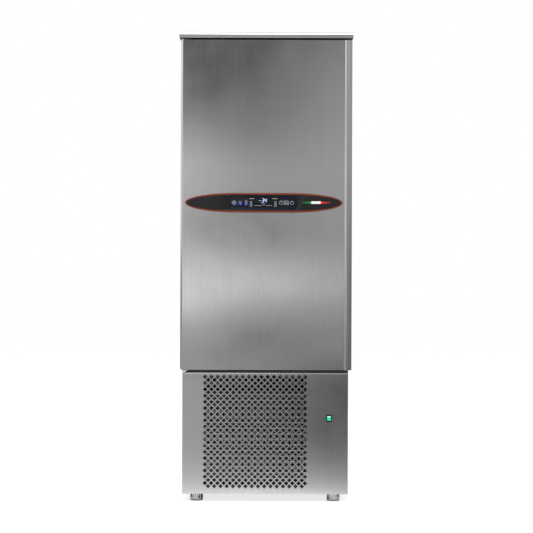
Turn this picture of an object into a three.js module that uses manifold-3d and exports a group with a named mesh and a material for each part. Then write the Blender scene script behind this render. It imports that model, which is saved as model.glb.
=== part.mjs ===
// A reach-in blast chiller: an insulated cabinet with tray racks and three evaporator fans, over a machine
// bay with the condensing unit. Millimetres, +Z up, front towards -Y, left-hung door. The origin is on the
// floor under the middle of the outer box.

import * as THREE from "three";
import { mergeVertices, mergeGeometries } from "three/addons/utils/BufferGeometryUtils.js";
import Module from "manifold-3d";

const wasm = await Module();
wasm.setup();

// ---------------------------------------------------------------- driving dimensions

const SHEET = 1.2; // stainless sheet
const CLEAR = 0.3; // gap between neighbours that touch
const GRID = 1 / 1024; // every corner is rounded to it
const OVER = 1; // a cutting body runs past what it cuts by this much

// Heights, from the floor up
const FOOT_H = 36;
const PANEL_H = 548;
const DOOR_GAP = 18;
const DOOR_H = 1478;
const TOP_GAP = 9;
const TOP_H = 26;

// Depths, from the front back
const FASCIA_T = 6;
const DOOR_T = 70;
const SEAL_GAP = 10; // between the door and the cabinet
const BODY_D = 714;

// Cabinet
const BODY_W = 750;
const TOP_OVERHANG = 15;
const TOP_NOSE_R = 11;
const TOP_NOSE_STEPS = 4;
const TOP_LIP = 40; // flange turned in under the top cover
const WALL = 55; // side walls with their sheets
const FLOOR_WALL = 60; // insulated floor, ceiling and back
const FRAME_T = 14; // depth of the frame round the opening

// Door
const DOOR_OVER_LEFT = 7; // door beyond the cabinet's left side
const DOOR_OVER_RIGHT = 11; // and, with its handle, beyond the right side
const DOOR_R = 8; // rounded left edge
const DOOR_STEPS = 4;
const PLUG_T = 7; // raised field of the inner liner
const PLUG_INSET = 20; // from the cabinet's opening
const GASKET_INSET = 8; // from the cabinet's opening
const GASKET_W = 18;
const GASKET_WALL = 4;

// Handle along the door's right edge
const HANDLE_W = 36;
const HANDLE_WALL = 3.5;
const HANDLE_LIP = 22; // how far the front wall turns back
const HANDLE_BACK = 8; // back wall
const HANDLE_CROWN = 6; // how far the front wall falls away to the right
const HANDLE_STEP = 1; // front wall's left edge behind the door's face
const HANDLE_STEPS = 6;

// Hinges
const HINGE_INSET = 17; // pin to the door's left edge
const HINGE_FROM_BACK = 25; // pin to the door's back
const PIN_R = 6;
const PIN_IN_DOOR = 24;
const PIN_HEAD_R = 9;
const PIN_HEAD_T = 1.8;
const LEAF_T = 4;
const LEAF_W = 26;
const LEAF_OVERHANG = 10; // leaf's outer edge to the pin
const LEAF_REACH = 16; // leaf's front edge to the pin
const LEAF_H = 70; // upright leaf
const LEAF_DOOR_GAP = 2.5;

// Control fascia on the door
const FASCIA_FROM_LEFT = 21; // to the door's left edge
const FASCIA_FROM_HANDLE = 7;
const FASCIA_END = 230; // length of each elliptical end
const FASCIA_H = 87;
const FASCIA_Z = 1350;
const FASCIA_STEPS = 9;
const TRIM_W = 7;
const TRIM_BACK = 1; // trim's face behind the fascia's
const WINDOW_W = 297;
const WINDOW_H = 66;
const WINDOW_R = 12;
const WINDOW_T = 1.6;
const WINDOW_STEPS = 2;
const BOARD_W = 240;
const BOARD_H = 56;
const BOARD_T = 1.6;

// Front panel of the machine bay
const HOLE_ROWS = 36;
const HOLES_IN_LONG_ROW = 17;
const HOLE_BAR = 5; // metal between two holes
const HOLE_TOP_MARGIN = 8;
const HOLE_BOTTOM_MARGIN = 24;
const HOLES_LEFT_MARGIN = 93;
const PANEL_SIDE_GAP = 1; // inside the cabinet's sides
const PANEL_FLANGE = 14;
const PANEL_FLANGE_INSET = 3;

// Rocker switch
const SWITCH_FROM_RIGHT = 86; // middle of the switch to the cabinet's right side
const SWITCH_FROM_TOP = 205; // middle of the switch to the top of the bay
const BEZEL_W = 27;
const BEZEL_H = 33;
const BEZEL_T = 2;
const SWITCH_W = 21;
const SWITCH_H = 30;
const SWITCH_D = 24;
const SWITCH_WALL = 1.5;
const ROCKER_TILT = 12; // degrees each way from the middle
const ROCKER_PROUD = 3;
const ROCKER_PIVOT_IN = 4; // pivot behind the panel's face
const ROCKER_END_GAP = 1.9; // to the housing, with the rocker level
const ROCKER_KEEL = 5; // rocker's middle behind its pivot
const ROCKER_HEEL = 2; // its ends behind the pivot, and their taper

// Levelling feet
const FOOT_R = 29;
const FOOT_SIDES = 16;
const FOOT_FROM_SIDE = 64;
const FOOT_FROM_END = 60;
const STEM_R = 8;
const STEM_IN = 64; // stem above the underside of the base
const BOSS_WALL = 8;
const BOSS_H = 54;
const ROUND_SIDES = 12; // of bosses, cans, hubs, pins and bushes
const SMALL_SIDES = 8; // of shafts, small bores and stubs
const HOLE_SIDES = 10; // of upright holes

// Base frame
const BASE_SHEET = 2;
const BASE_RIM = 40;

// Inside the cabinet
const RACK_FROM_FRONT = 44;
const RACK_BACK_GAP = 16; // to the fan panel
const LEVELS = 15;
const LEVEL_PITCH = 80;
const RACK_SHEET = 2;
const RACK_MARGIN = 30; // sheet beyond the first and last ledge
const LEDGE_W = 34;
const LEDGE_T = 2;
const LEDGE_INSET = 4; // ledge's ends inside the sheet's edges
const FAN_PANEL_FLANGE = 12;
const FAN_PANEL_SIDE_GAP = 14;
const FAN_PANEL_END_GAP = 56; // to the cavity's floor and ceiling
const FAN_HOLE_SIDES = 20;
const FAN_COUNT = 3;
const FAN_PITCH = 420;
const FAN_R = 100;
const FAN_TIP_GAP = 5;
const FAN_HUB_R = 32;
const FAN_DEPTH = 22;
const FAN_BLADES = 5;
const FAN_BLADE_ANGLE = 28;
const FAN_BLADE_T = 2;
const FAN_BLADE_ROOT = 0.7; // of the hub's radius
const MOTOR_R = 38;
const MOTOR_L = 48;
const MOTOR_WHEEL_GAP = 4;
const MOTOR_COIL_GAP = 34.8; // behind the motors, for the risers
const SHAFT_R = 4;
const ARM_W = 12;
const ARM_T = 4;
const ARM_ROOT = 4; // arms start this far inside the motor's can
const COIL_D = 90;
const COIL_SIDE_GAP = 60; // to the cavity's sides
const COIL_TOP_GAP = 109;
const COIL_FINS = 17;
const COIL_BACK_GAP = 10;
const COIL_PLATE_T = 4;
const COIL_PLATE_PROUD = 4; // end plates in front of the fins
const COIL_PLATE_RISE = 8; // and above them
const COIL_TAB_D = 20;
const COIL_TAB_H = 60;
const FIN_DEPTH = 14;
const FIN_T = 2;
const DRIP_PAN_H = 26;
const DRIP_PAN_GAP = 6; // above the cavity floor
const DRIP_PAN_MARGIN = 12;
const DRIP_PAD_W = 16;
const DRIP_PAD_INSET = 10;
const DRAIN_R = 11;
const DRAIN_BORE = 8;
const COIL_LEG = 30; // coil's underside above the drip pan's floor
const RISER_FROM_COIL = 50; // pipes that climb in front of the coil
const SUCTION_INSET = 85; // risers inside the coil's right end
const LIQUID_INSET = 35;
const SUCTION_RISE = 200; // pipe's upper end above the coil's underside
const VALVE_RISE = 160; // valve above the coil's underside
const HOLE_EASE = 0.6; // pipe and drain holes, beyond their clearance
const VALVE_R = 14;
const VALVE_H = 60;
const VALVE_HEAD_R = 21;
const VALVE_HEAD_H = 12;
const PROBE_R = 2;
const PROBE_L = 130;
const PROBE_GRIP_R = 8;
const PROBE_COLLAR = 2.5; // beyond the grip
const PROBE_GRIP_L = 90;
const PROBE_DROP = 300; // top of the grip below the ceiling
const HOLDER_W = 26;
const HOLDER_D = 22;
const HOLDER_H = 40;
const PROBE_FROM_FRONT = 18;

// Machine bay
const CONDENSER_BOX_GAP = 77; // condenser to electrical box, for the pipes
const CONDENSER_TOP_GAP = 82; // under the top of the bay
const CONDENSER_D = 88;
const CONDENSER_GAP = 26; // behind the front panel
const CONDENSER_RISE = 46; // above the underside of the base
const CONDENSER_FINS = 18;
const CONDENSER_PLATE_T = 6;
const CONDENSER_PLATE_PROUD = 4; // end plates in front of the fins
const CONDENSER_PLATE_RISE = 10; // and above them
const SHROUD_D = 40;
const SHROUD_WALL = 1.5;
const SHROUD_HOLE_SIDES = 24;
const COOLING_FAN_R = 150;
const COOLING_HUB_R = 40;
const COOLING_DEPTH = 30;
const COOLING_MOTOR_R = 48;
const COOLING_MOTOR_L = 70;
const COMPRESSOR_R = 118;
const COMPRESSOR_H = 300;
const COMPRESSOR_FROM_SIDE = 160;
const COMPRESSOR_PLATE_T = 5;
const COMPRESSOR_LEG = 22;
const COMPRESSOR_LEG_R = 10;
const COMPRESSOR_LEG_INSET = 14;
const COMPRESSOR_SIDES = 16;
const TERMINAL_REACH = 34; // terminal cover beyond the can
const TERMINAL_W = 64;
const RECEIVER_R = 62;
const RECEIVER_H = 300;
const RECEIVER_INSET = 68; // inside the condenser's right end
const RECEIVER_BEHIND = 260; // behind the condenser
const RECEIVER_FOOT = 16;
const RECEIVER_FOOT_R = 37.2;
const DRIER_R = 28;
const DRIER_PIPE_GAP = 15.7; // above the bend of its pipe
const DRIER_BELOW_CEILING = 14;
const PIPE_R = 8;
const PIPE_BEND = 34;
const PIPE_STEPS = 24;
const PIPE_ARC_STEPS = 3; // gives a six-sided tube
const CEILING_PIPE_DROP = 134; // suction line's level run below the bay's ceiling
const LIQUID_PIPE_RISE = 66; // liquid line's level run above the receiver
const CONDENSER_PIPE_INSET = 40; // pipes from the condenser's top and bottom
const CONDENSER_PIPE_REACH = 50; // pipes out from the condenser's end plate
const BOX_W = 110;
const BOX_D = 200;
const BOX_H = 200;
const BOX_WALL = 2;
const BOX_FROM_FRONT = 60;
const TRAY_COMPRESSOR_GAP = 22;
const TRAY_D = 150;
const TRAY_H = 46;
const TRAY_WALL = 2;
const REAR_RECESS = 24; // rear grille inside the back edge
const SLOT_ROWS = 8;
const SLOT_H = 10;
const SLOT_W = 230;
const SLOT_PITCH = 34;
const SLOTS_TOP_MARGIN = 60;
const GLAND_R = 14;
const GLAND_THREAD_R = 11;
const GLAND_BORE = 5;
const GLAND_L = 34;
const GLAND_FROM_RIGHT = 90;
const GLAND_Z = 150;

// ---------------------------------------------------------------- places worked out from them

const DEPTH = FASCIA_T + DOOR_T + SEAL_GAP + BODY_D;
const BACK = DEPTH / 2;
const DOOR_FRONT = -DEPTH / 2 + FASCIA_T;
const DOOR_BACK = DOOR_FRONT + DOOR_T;
const CABINET_FRONT = DOOR_BACK + SEAL_GAP;
const SIDE = BODY_W / 2;
const INSIDE = SIDE - SHEET - CLEAR; // clear half width between the side panels

const BAY_TOP = FOOT_H + PANEL_H;
const DOOR_BOTTOM = BAY_TOP + DOOR_GAP;
const DOOR_TOP = DOOR_BOTTOM + DOOR_H;
const CABINET_TOP = DOOR_TOP + TOP_GAP;
const BASE_FLOOR = FOOT_H + BASE_SHEET;
const STANDING = BASE_FLOOR + CLEAR; // underside of what stands on the base

const CAVITY = {
  x: SIDE - WALL,
  front: CABINET_FRONT,
  back: BACK - FLOOR_WALL,
  bottom: BAY_TOP + FLOOR_WALL,
  top: CABINET_TOP - FLOOR_WALL,
};

const DOOR_LEFT = -SIDE - DOOR_OVER_LEFT;
const DOOR_RIGHT = SIDE + DOOR_OVER_RIGHT;
const SLAB_RIGHT = DOOR_RIGHT - HANDLE_W;
const HINGE_X = DOOR_LEFT + HINGE_INSET;
const FASCIA_X = (DOOR_LEFT + FASCIA_FROM_LEFT + SLAB_RIGHT - FASCIA_FROM_HANDLE) / 2;
const FASCIA_W = SLAB_RIGHT - DOOR_LEFT - FASCIA_FROM_LEFT - FASCIA_FROM_HANDLE;
const FASCIA_STRAIGHT = FASCIA_W - 2 * FASCIA_END; // of the top and bottom edges
const HINGE_Y = DOOR_BACK - HINGE_FROM_BACK;

const PANEL_FACE = CABINET_FRONT - CLEAR - SHEET;
const SWITCH_X = SIDE - SWITCH_FROM_RIGHT;
const SWITCH_Z = BAY_TOP - SWITCH_FROM_TOP;

const FAN_MIDDLE_Z = (CAVITY.bottom + CAVITY.top) / 2;
const COIL_W = 2 * (CAVITY.x - COIL_SIDE_GAP);
const COIL_BACK = CAVITY.back - COIL_BACK_GAP;
const COIL_FRONT = COIL_BACK - COIL_D;
const MOTOR_REACH = FAN_DEPTH / 2 + MOTOR_WHEEL_GAP + MOTOR_L;
const FAN_PANEL_FRONT = COIL_FRONT - MOTOR_COIL_GAP - MOTOR_REACH - SHEET;
const SUCTION_X = COIL_W / 2 - SUCTION_INSET;
const LIQUID_X = COIL_W / 2 - LIQUID_INSET;
const DRIP_FLOOR = CAVITY.bottom + DRIP_PAN_GAP;
const DRAIN_Y = COIL_FRONT + COIL_D / 2;
const COIL_BOTTOM = DRIP_FLOOR + COIL_LEG;
const COIL_H = CAVITY.top - COIL_TOP_GAP - COIL_BOTTOM;

const CONDENSER_W = BODY_W - HOLES_LEFT_MARGIN - BOX_W - CONDENSER_BOX_GAP;
const CONDENSER_X = -SIDE + HOLES_LEFT_MARGIN + CONDENSER_W / 2;
const CONDENSER_FRONT = CABINET_FRONT + CONDENSER_GAP;
const CONDENSER_BACK = CONDENSER_FRONT + CONDENSER_D;
const CONDENSER_BOTTOM = FOOT_H + CONDENSER_RISE;
const CONDENSER_H = BAY_TOP - CONDENSER_TOP_GAP - CONDENSER_BOTTOM;
const COMPRESSOR_X = -SIDE + COMPRESSOR_FROM_SIDE;
const TRAY_W = 2 * (-COMPRESSOR_X - COMPRESSOR_R - TRAY_COMPRESSOR_GAP);
const RECEIVER_X = CONDENSER_X + CONDENSER_W / 2 - RECEIVER_INSET;
const RECEIVER_Y = CONDENSER_BACK + RECEIVER_BEHIND;
const COOLING_Z = CONDENSER_BOTTOM + CONDENSER_H / 2;
const SHROUD_FRONT = CONDENSER_BACK + CLEAR;
const SHROUD_BACK = SHROUD_FRONT + SHROUD_D;
const REAR_GRILLE = BACK - REAR_RECESS;

const RISER_Y = COIL_FRONT - RISER_FROM_COIL;
const VALVE_Z = COIL_BOTTOM + VALVE_RISE;

// ---------------------------------------------------------------- finishes

function finish(color, roughness, metalness) {
  return new THREE.MeshStandardMaterial({ color, roughness, metalness });
}

const BRUSHED = finish(0xa9a9a8, 0.36, 1);
const POLISHED = finish(0xd4d4d4, 0.14, 1);
const LINER_STEEL = finish(0xbdbdbc, 0.3, 1);
const GALVANISED = finish(0x9aa0a3, 0.5, 0.8);
const ALUMINIUM = finish(0xb9bcbe, 0.4, 0.9);
const COPPER = finish(0xb4693c, 0.32, 1);
const BLACK_STEEL = finish(0x1b1c1d, 0.45, 0.4);
const BLACK_PLASTIC = finish(0x141414, 0.4, 0);
const GREY_PLASTIC = finish(0x5c5f61, 0.55, 0);
const RUBBER = finish(0x3b3c3d, 0.8, 0);
const FOAM = finish(0xd9cf9f, 0.9, 0);
const CHARCOAL = finish(0x2d2d2e, 0.35, 0);
const RUST_RED = finish(0x8c2d19, 0.4, 0.3);
const DARK_GLASS = finish(0x0a0d14, 0.08, 0);
const BOARD_GREEN = finish(0x1d5a34, 0.6, 0);
const LIT_GREEN = finish(0x14a078, 0.3, 0);
const GREY_PAINT = finish(0x8b9096, 0.5, 0.1);

// ---------------------------------------------------------------- solids

// Faces meant to lie in one plane get the very same number.
function onGrid(length) {
  return Math.round(length / GRID) * GRID;
}

// A closed body from a closed geometry: its vertices are shared by place, and slivers at a lathe's poles go.
function solid(geometry) {
  const bare = geometry.index ? geometry.toNonIndexed() : geometry.clone();
  bare.deleteAttribute("normal");
  bare.deleteAttribute("uv");
  const merged = mergeVertices(bare, 1e-3);
  const index = merged.index.array;
  const kept = [];
  for (let i = 0; i < index.length; i += 3) {
    const [a, b, c] = [index[i], index[i + 1], index[i + 2]];
    if (a !== b && b !== c && c !== a) kept.push(a, b, c);
  }
  const vertProperties = merged.attributes.position.array.map(onGrid);
  return new wasm.Manifold(new wasm.Mesh({ numProp: 3, vertProperties, triVerts: new Uint32Array(kept) }));
}

function meshGeometry(body) {
  const mesh = body.asOriginal().simplify(GRID).getMesh();
  const geometry = new THREE.BufferGeometry();
  geometry.setAttribute("position", new THREE.BufferAttribute(mesh.vertProperties, 3));
  geometry.setIndex(new THREE.BufferAttribute(mesh.triVerts, 1));
  geometry.computeVertexNormals();
  return geometry;
}

function joined(bodies) {
  return bodies.reduce((sum, body) => sum.add(body));
}

// A block between two corners.
function block(x0, x1, y0, y1, z0, z1) {
  const geometry = new THREE.BoxGeometry(x1 - x0, y1 - y0, z1 - z0);
  geometry.translate((x0 + x1) / 2, (y0 + y1) / 2, (z0 + z1) / 2);
  return solid(geometry);
}

// The directions that a shape's own x, its own y and its depth take when it is pushed along an axis.
const X = new THREE.Vector3(1, 0, 0);
const Y = new THREE.Vector3(0, 1, 0);
const Z = new THREE.Vector3(0, 0, 1);
const PUSH = {
  x: new THREE.Matrix4().makeBasis(Y, Z, X),
  y: new THREE.Matrix4().makeBasis(X.clone().negate(), Z, Y),
  z: new THREE.Matrix4().makeBasis(X, Y, Z),
};

// A shape pushed along an axis, from one place on it to another. Along y its own x runs the other way.
function pushed(axis, shape, from, to, curveSegments = 8) {
  const depth = to - from;
  const geometry = new THREE.ExtrudeGeometry(shape, { depth, bevelEnabled: false, curveSegments });
  geometry.translate(0, 0, from);
  geometry.applyMatrix4(PUSH[axis]);
  return solid(geometry);
}

function polygon(points) {
  return new THREE.Shape(points.map(([a, b]) => new THREE.Vector2(a, b)));
}

// A turned body about Z, from a profile of [radius, height] points that starts and ends on the axis.
function turned(profile, sides) {
  const points = profile.map(([radius, height]) => new THREE.Vector2(radius, height));
  const geometry = new THREE.LatheGeometry(points, sides);
  geometry.rotateX(Math.PI / 2);
  return solid(geometry);
}

function rod(radius, length, sides) {
  return turned([[0, 0], [radius, 0], [radius, length], [0, length]], sides);
}

// A rod whose flats, not its corners, lie at the radius: cut away, it clears a pin of that radius.
function borer(radius, length, sides) {
  return rod(radius / Math.cos(Math.PI / sides), length, sides);
}

// The same rod laid along +Y from a point, or stood up on it.
function rodAlongY(radius, length, sides, x, y, z) {
  return rod(radius, length, sides).rotate([-90, 0, 0]).translate([x, y, z]);
}

function rodUp(radius, length, sides, x, y, z) {
  return rod(radius, length, sides).translate([x, y, z]);
}

function holeUp(radius, length, x, y, z) {
  return borer(radius, length, HOLE_SIDES).translate([x, y, z]);
}

function holeAlongY(radius, length, sides, x, y, z) {
  return borer(radius, length, sides).rotate([-90, 0, 0]).translate([x, y, z]);
}

// A tube bent round each corner of a run of points.
function pipe(corners, radius) {
  const points = corners.map(([x, y, z]) => new THREE.Vector3(x, y, z));
  const path = new THREE.CurvePath();
  let start = points[0];
  for (let i = 1; i < points.length - 1; i += 1) {
    const corner = points[i];
    const bendIn = corner.clone().add(points[i - 1].clone().sub(corner).setLength(PIPE_BEND));
    const bendOut = corner.clone().add(points[i + 1].clone().sub(corner).setLength(PIPE_BEND));
    path.add(new THREE.LineCurve3(start, bendIn));
    path.add(new THREE.QuadraticBezierCurve3(bendIn, corner, bendOut));
    start = bendOut;
  }
  path.add(new THREE.LineCurve3(start, points[points.length - 1]));
  const section = new THREE.Shape();
  section.absarc(0, 0, radius, 0, Math.PI * 2);
  const options = {
    steps: PIPE_STEPS,
    curveSegments: PIPE_ARC_STEPS,
    bevelEnabled: false,
    extrudePath: path,
  };
  return solid(new THREE.ExtrudeGeometry(section, options));
}

// ---------------------------------------------------------------- the assembly

const chiller = new THREE.Group();

function place(name, material, body, parent = chiller) {
  const mesh = new THREE.Mesh(meshGeometry(body), material);
  mesh.name = name;
  parent.add(mesh);
  return mesh;
}

// ---------------------------------------------------------------- cabinet

function sidePanel(hand) {
  const y0 = CABINET_FRONT;
  const flange = TOP_LIP / 2;
  const sheet = block(SIDE - SHEET, SIDE, y0, BACK, FOOT_H, CABINET_TOP - CLEAR);
  const backFlange = block(SIDE - flange, SIDE, BACK - SHEET, BACK, FOOT_H, CABINET_TOP - CLEAR);
  const body = sheet.add(backFlange);
  return hand < 0 ? body.mirror([1, 0, 0]) : body;
}

function topCover() {
  const half = SIDE + TOP_OVERHANG;
  const top = CABINET_TOP + TOP_H;
  const profile = new THREE.Shape();
  profile.moveTo(DOOR_FRONT, CABINET_TOP);
  profile.lineTo(BACK, CABINET_TOP);
  profile.lineTo(BACK, top);
  profile.lineTo(DOOR_FRONT + TOP_NOSE_R, top);
  profile.absarc(DOOR_FRONT + TOP_NOSE_R, top - TOP_NOSE_R, TOP_NOSE_R, Math.PI / 2, Math.PI);
  profile.closePath();
  const outside = pushed("x", profile, -half, half, TOP_NOSE_STEPS);
  const hollow = block(
    -half + SHEET,
    half - SHEET,
    DOOR_FRONT + TOP_NOSE_R,
    BACK - SHEET,
    CABINET_TOP + SHEET,
    top - SHEET,
  );
  const mouth = block(
    -SIDE + TOP_LIP,
    SIDE - TOP_LIP,
    CABINET_FRONT + TOP_LIP,
    BACK - TOP_LIP,
    CABINET_TOP - SHEET,
    CABINET_TOP + 2 * SHEET,
  );
  return outside.subtract(hollow).subtract(mouth);
}

function cavityBlock(grow, front) {
  return block(
    -CAVITY.x - grow,
    CAVITY.x + grow,
    front,
    CAVITY.back + grow,
    CAVITY.bottom - grow,
    CAVITY.top + grow,
  );
}

// Everything that passes down through the insulated floor.
function floorHoles() {
  const grow = CLEAR + HOLE_EASE;
  const from = BAY_TOP - SHEET;
  const length = CAVITY.bottom + SHEET - from;
  return joined([
    holeUp(DRAIN_R + grow, length, 0, DRAIN_Y, from),
    holeUp(PIPE_R + grow, length, SUCTION_X, RISER_Y, from),
    holeUp(PIPE_R + grow, length, LIQUID_X, RISER_Y, from),
  ]);
}

function innerLiner() {
  const shell = cavityBlock(SHEET, CAVITY.front);
  const room = cavityBlock(0, CAVITY.front - SHEET);
  return shell.subtract(room).subtract(floorHoles());
}

function wallFoam() {
  const front = CABINET_FRONT + FRAME_T + CLEAR;
  const bottom = BAY_TOP + SHEET + CLEAR;
  const outside = block(-INSIDE, INSIDE, front, BACK - SHEET - CLEAR, bottom, CABINET_TOP - CLEAR);
  return outside.subtract(cavityBlock(SHEET + CLEAR, front - SHEET)).subtract(floorHoles());
}

function doorFrame() {
  const bottom = BAY_TOP + SHEET + CLEAR;
  const ring = block(-INSIDE, INSIDE, CABINET_FRONT, CABINET_FRONT + FRAME_T, bottom, CABINET_TOP - CLEAR);
  return ring.subtract(cavityBlock(SHEET + CLEAR, CABINET_FRONT - SHEET));
}

function backPanel() {
  const half = INSIDE;
  const inner = BACK - SHEET;
  return block(-half + TOP_LIP / 2, half - TOP_LIP / 2, inner, BACK, BAY_TOP + CLEAR, CABINET_TOP - CLEAR);
}

function bayCeiling() {
  const y0 = CABINET_FRONT + CLEAR;
  const y1 = BACK - SHEET - CLEAR;
  const flange = 2 * PANEL_FLANGE;
  const sheet = block(-INSIDE, INSIDE, y0, y1, BAY_TOP, BAY_TOP + SHEET);
  const left = block(-INSIDE, -INSIDE + SHEET, y0 + flange, y1 - flange, BAY_TOP - flange, BAY_TOP);
  return joined([sheet, left, left.mirror([1, 0, 0])]).subtract(floorHoles());
}

// ---------------------------------------------------------------- base, front panel and rear grille

const FOOT_PLACES = [
  ["front_left", -1, CABINET_FRONT + FOOT_FROM_END],
  ["front_right", 1, CABINET_FRONT + FOOT_FROM_END],
  ["rear_left", -1, BACK - FOOT_FROM_END],
  ["rear_right", 1, BACK - FOOT_FROM_END],
];
const FOOT_X = SIDE - FOOT_FROM_SIDE;

function baseFrame() {
  const y0 = CABINET_FRONT + CLEAR;
  const y1 = REAR_GRILLE - CLEAR;
  const outside = block(-INSIDE, INSIDE, y0, y1, FOOT_H, FOOT_H + BASE_RIM);
  const sheet = BASE_SHEET;
  const roomTop = FOOT_H + 2 * BASE_RIM;
  const room = block(-INSIDE + sheet, INSIDE - sheet, y0 + sheet, y1 - sheet, BASE_FLOOR, roomTop);
  const bosses = FOOT_PLACES.map(([, hand, y]) =>
    rodUp(STEM_R + CLEAR + BOSS_WALL, BOSS_H, ROUND_SIDES, hand * FOOT_X, y, FOOT_H),
  );
  const bores = FOOT_PLACES.map(([, hand, y]) =>
    holeUp(STEM_R + CLEAR, BOSS_H + 2 * OVER, hand * FOOT_X, y, FOOT_H - OVER),
  );
  return joined([outside.subtract(room), ...bosses]).subtract(joined(bores));
}

function foot() {
  const top = FOOT_H - CLEAR;
  const profile = [
    [0, 0],
    [FOOT_R, 0],
    [FOOT_R, top],
    [STEM_R, top],
    [STEM_R, FOOT_H + STEM_IN],
    [0, FOOT_H + STEM_IN],
  ];
  return turned(profile, FOOT_SIDES);
}

// Rows of square holes set on their corners, long and short rows in turn.
function diamondHoles() {
  const tall = PANEL_H - HOLE_TOP_MARGIN - HOLE_BOTTOM_MARGIN;
  const barOnCorner = HOLE_BAR * Math.SQRT2;
  const rowPitch = (tall + barOnCorner) / (HOLE_ROWS + 1);
  const holePitch = 2 * rowPitch;
  const side = holePitch / Math.SQRT2 - HOLE_BAR;
  const left = -SIDE + HOLES_LEFT_MARGIN + side / Math.SQRT2;
  const top = BAY_TOP - HOLE_TOP_MARGIN - side / Math.SQRT2;
  const holes = [];
  for (let row = 0; row < HOLE_ROWS; row += 1) {
    const short = row % 2;
    for (let column = 0; column < HOLES_IN_LONG_ROW - short; column += 1) {
      const hole = new THREE.BoxGeometry(side, 10 * SHEET, side);
      hole.rotateY(Math.PI / 4);
      hole.translate(left + (column + short / 2) * holePitch, PANEL_FACE, top - row * rowPitch);
      holes.push(hole);
    }
  }
  return solid(mergeGeometries(holes));
}

function frontPanel() {
  const back = PANEL_FACE + SHEET;
  const half = SIDE - PANEL_SIDE_GAP;
  const edge = INSIDE - PANEL_FLANGE_INSET;
  const low = FOOT_H + BASE_RIM + PANEL_FLANGE_INSET;
  const high = BAY_TOP - PANEL_FLANGE_INSET;
  const sheet = block(-half, half, PANEL_FACE, back, FOOT_H, BAY_TOP);
  const leftFlange = block(-edge, -edge + SHEET, PANEL_FACE, back + PANEL_FLANGE, low, high);
  const topFlange = block(-edge, edge, PANEL_FACE, back + PANEL_FLANGE, high - SHEET, high);
  const opening = block(
    SWITCH_X - SWITCH_W / 2 - CLEAR,
    SWITCH_X + SWITCH_W / 2 + CLEAR,
    PANEL_FACE - OVER,
    back + OVER,
    SWITCH_Z - SWITCH_H / 2 - CLEAR,
    SWITCH_Z + SWITCH_H / 2 + CLEAR,
  );
  const pan = joined([sheet, leftFlange, leftFlange.mirror([1, 0, 0]), topFlange]);
  return pan.subtract(opening).subtract(diamondHoles());
}

function rearGrille() {
  const flange = PANEL_FLANGE;
  const bottom = FOOT_H + CLEAR;
  const top = BAY_TOP - CLEAR;
  const sheet = block(-INSIDE, INSIDE, REAR_GRILLE, REAR_GRILLE + SHEET, bottom, top);
  const leftFlange = block(-INSIDE, -INSIDE + SHEET, REAR_GRILLE, REAR_GRILLE + flange, bottom, top);
  const cutFrom = REAR_GRILLE - OVER;
  const cutTo = REAR_GRILLE + SHEET + OVER;
  const slots = [];
  for (let row = 0; row < SLOT_ROWS; row += 1) {
    const z = top - SLOTS_TOP_MARGIN - row * SLOT_PITCH;
    for (const hand of [-1, 1]) {
      const x = (hand * SIDE) / 2;
      slots.push(block(x - SLOT_W / 2, x + SLOT_W / 2, cutFrom, cutTo, z - SLOT_H, z));
    }
  }
  const x = SIDE - GLAND_FROM_RIGHT;
  const glandHole = holeAlongY(GLAND_THREAD_R + CLEAR, cutTo - cutFrom, ROUND_SIDES, x, cutFrom, GLAND_Z);
  const sheets = joined([sheet, leftFlange, leftFlange.mirror([1, 0, 0])]);
  return sheets.subtract(joined(slots)).subtract(glandHole);
}

// The inlet that the supply cord would come in by: a flanged bush with a through bore.
function cableGland() {
  const x = SIDE - GLAND_FROM_RIGHT;
  const outer = GLAND_L / 2;
  const start = REAR_GRILLE - outer;
  const collarFrom = REAR_GRILLE + SHEET + CLEAR;
  const barrel = rodAlongY(GLAND_THREAD_R, GLAND_L, ROUND_SIDES, x, start, GLAND_Z);
  const collar = rodAlongY(GLAND_R, REAR_GRILLE + outer - collarFrom, ROUND_SIDES, x, collarFrom, GLAND_Z);
  const bore = holeAlongY(GLAND_BORE, GLAND_L + 2 * OVER, SMALL_SIDES, x, start - OVER, GLAND_Z);
  return barrel.add(collar).subtract(bore);
}

// ---------------------------------------------------------------- door

// The door's slab moved in by a wall on its front and sides; its left front edge is rounded.
function doorSlab(inset, back) {
  const left = DOOR_LEFT + inset;
  const right = SLAB_RIGHT - inset;
  const front = DOOR_FRONT + inset;
  const radius = DOOR_R - inset;
  const shape = new THREE.Shape();
  shape.moveTo(right, front);
  shape.lineTo(right, back);
  shape.lineTo(left, back);
  shape.absarc(left + radius, front + radius, radius, Math.PI, 1.5 * Math.PI);
  shape.closePath();
  return pushed("z", shape, DOOR_BOTTOM + inset, DOOR_TOP - inset, DOOR_STEPS);
}

function hingeBores() {
  const depth = PIN_IN_DOOR + 2 * OVER;
  const bore = holeUp(PIN_R + CLEAR, 2 * depth, HINGE_X, HINGE_Y, DOOR_BOTTOM - depth);
  return bore.add(bore.translate([0, 0, DOOR_H]));
}

function doorOuterSkin() {
  return doorSlab(0, DOOR_BACK).subtract(doorSlab(SHEET, DOOR_BACK + OVER)).subtract(hingeBores());
}

const LINER_EDGE = SHEET + CLEAR; // liner and foam inside the outer skin

function plugBlock(inset, y0, y1) {
  return block(
    -CAVITY.x + PLUG_INSET + inset,
    CAVITY.x - PLUG_INSET - inset,
    y0,
    y1,
    CAVITY.bottom + PLUG_INSET + inset,
    CAVITY.top - PLUG_INSET - inset,
  );
}

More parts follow.
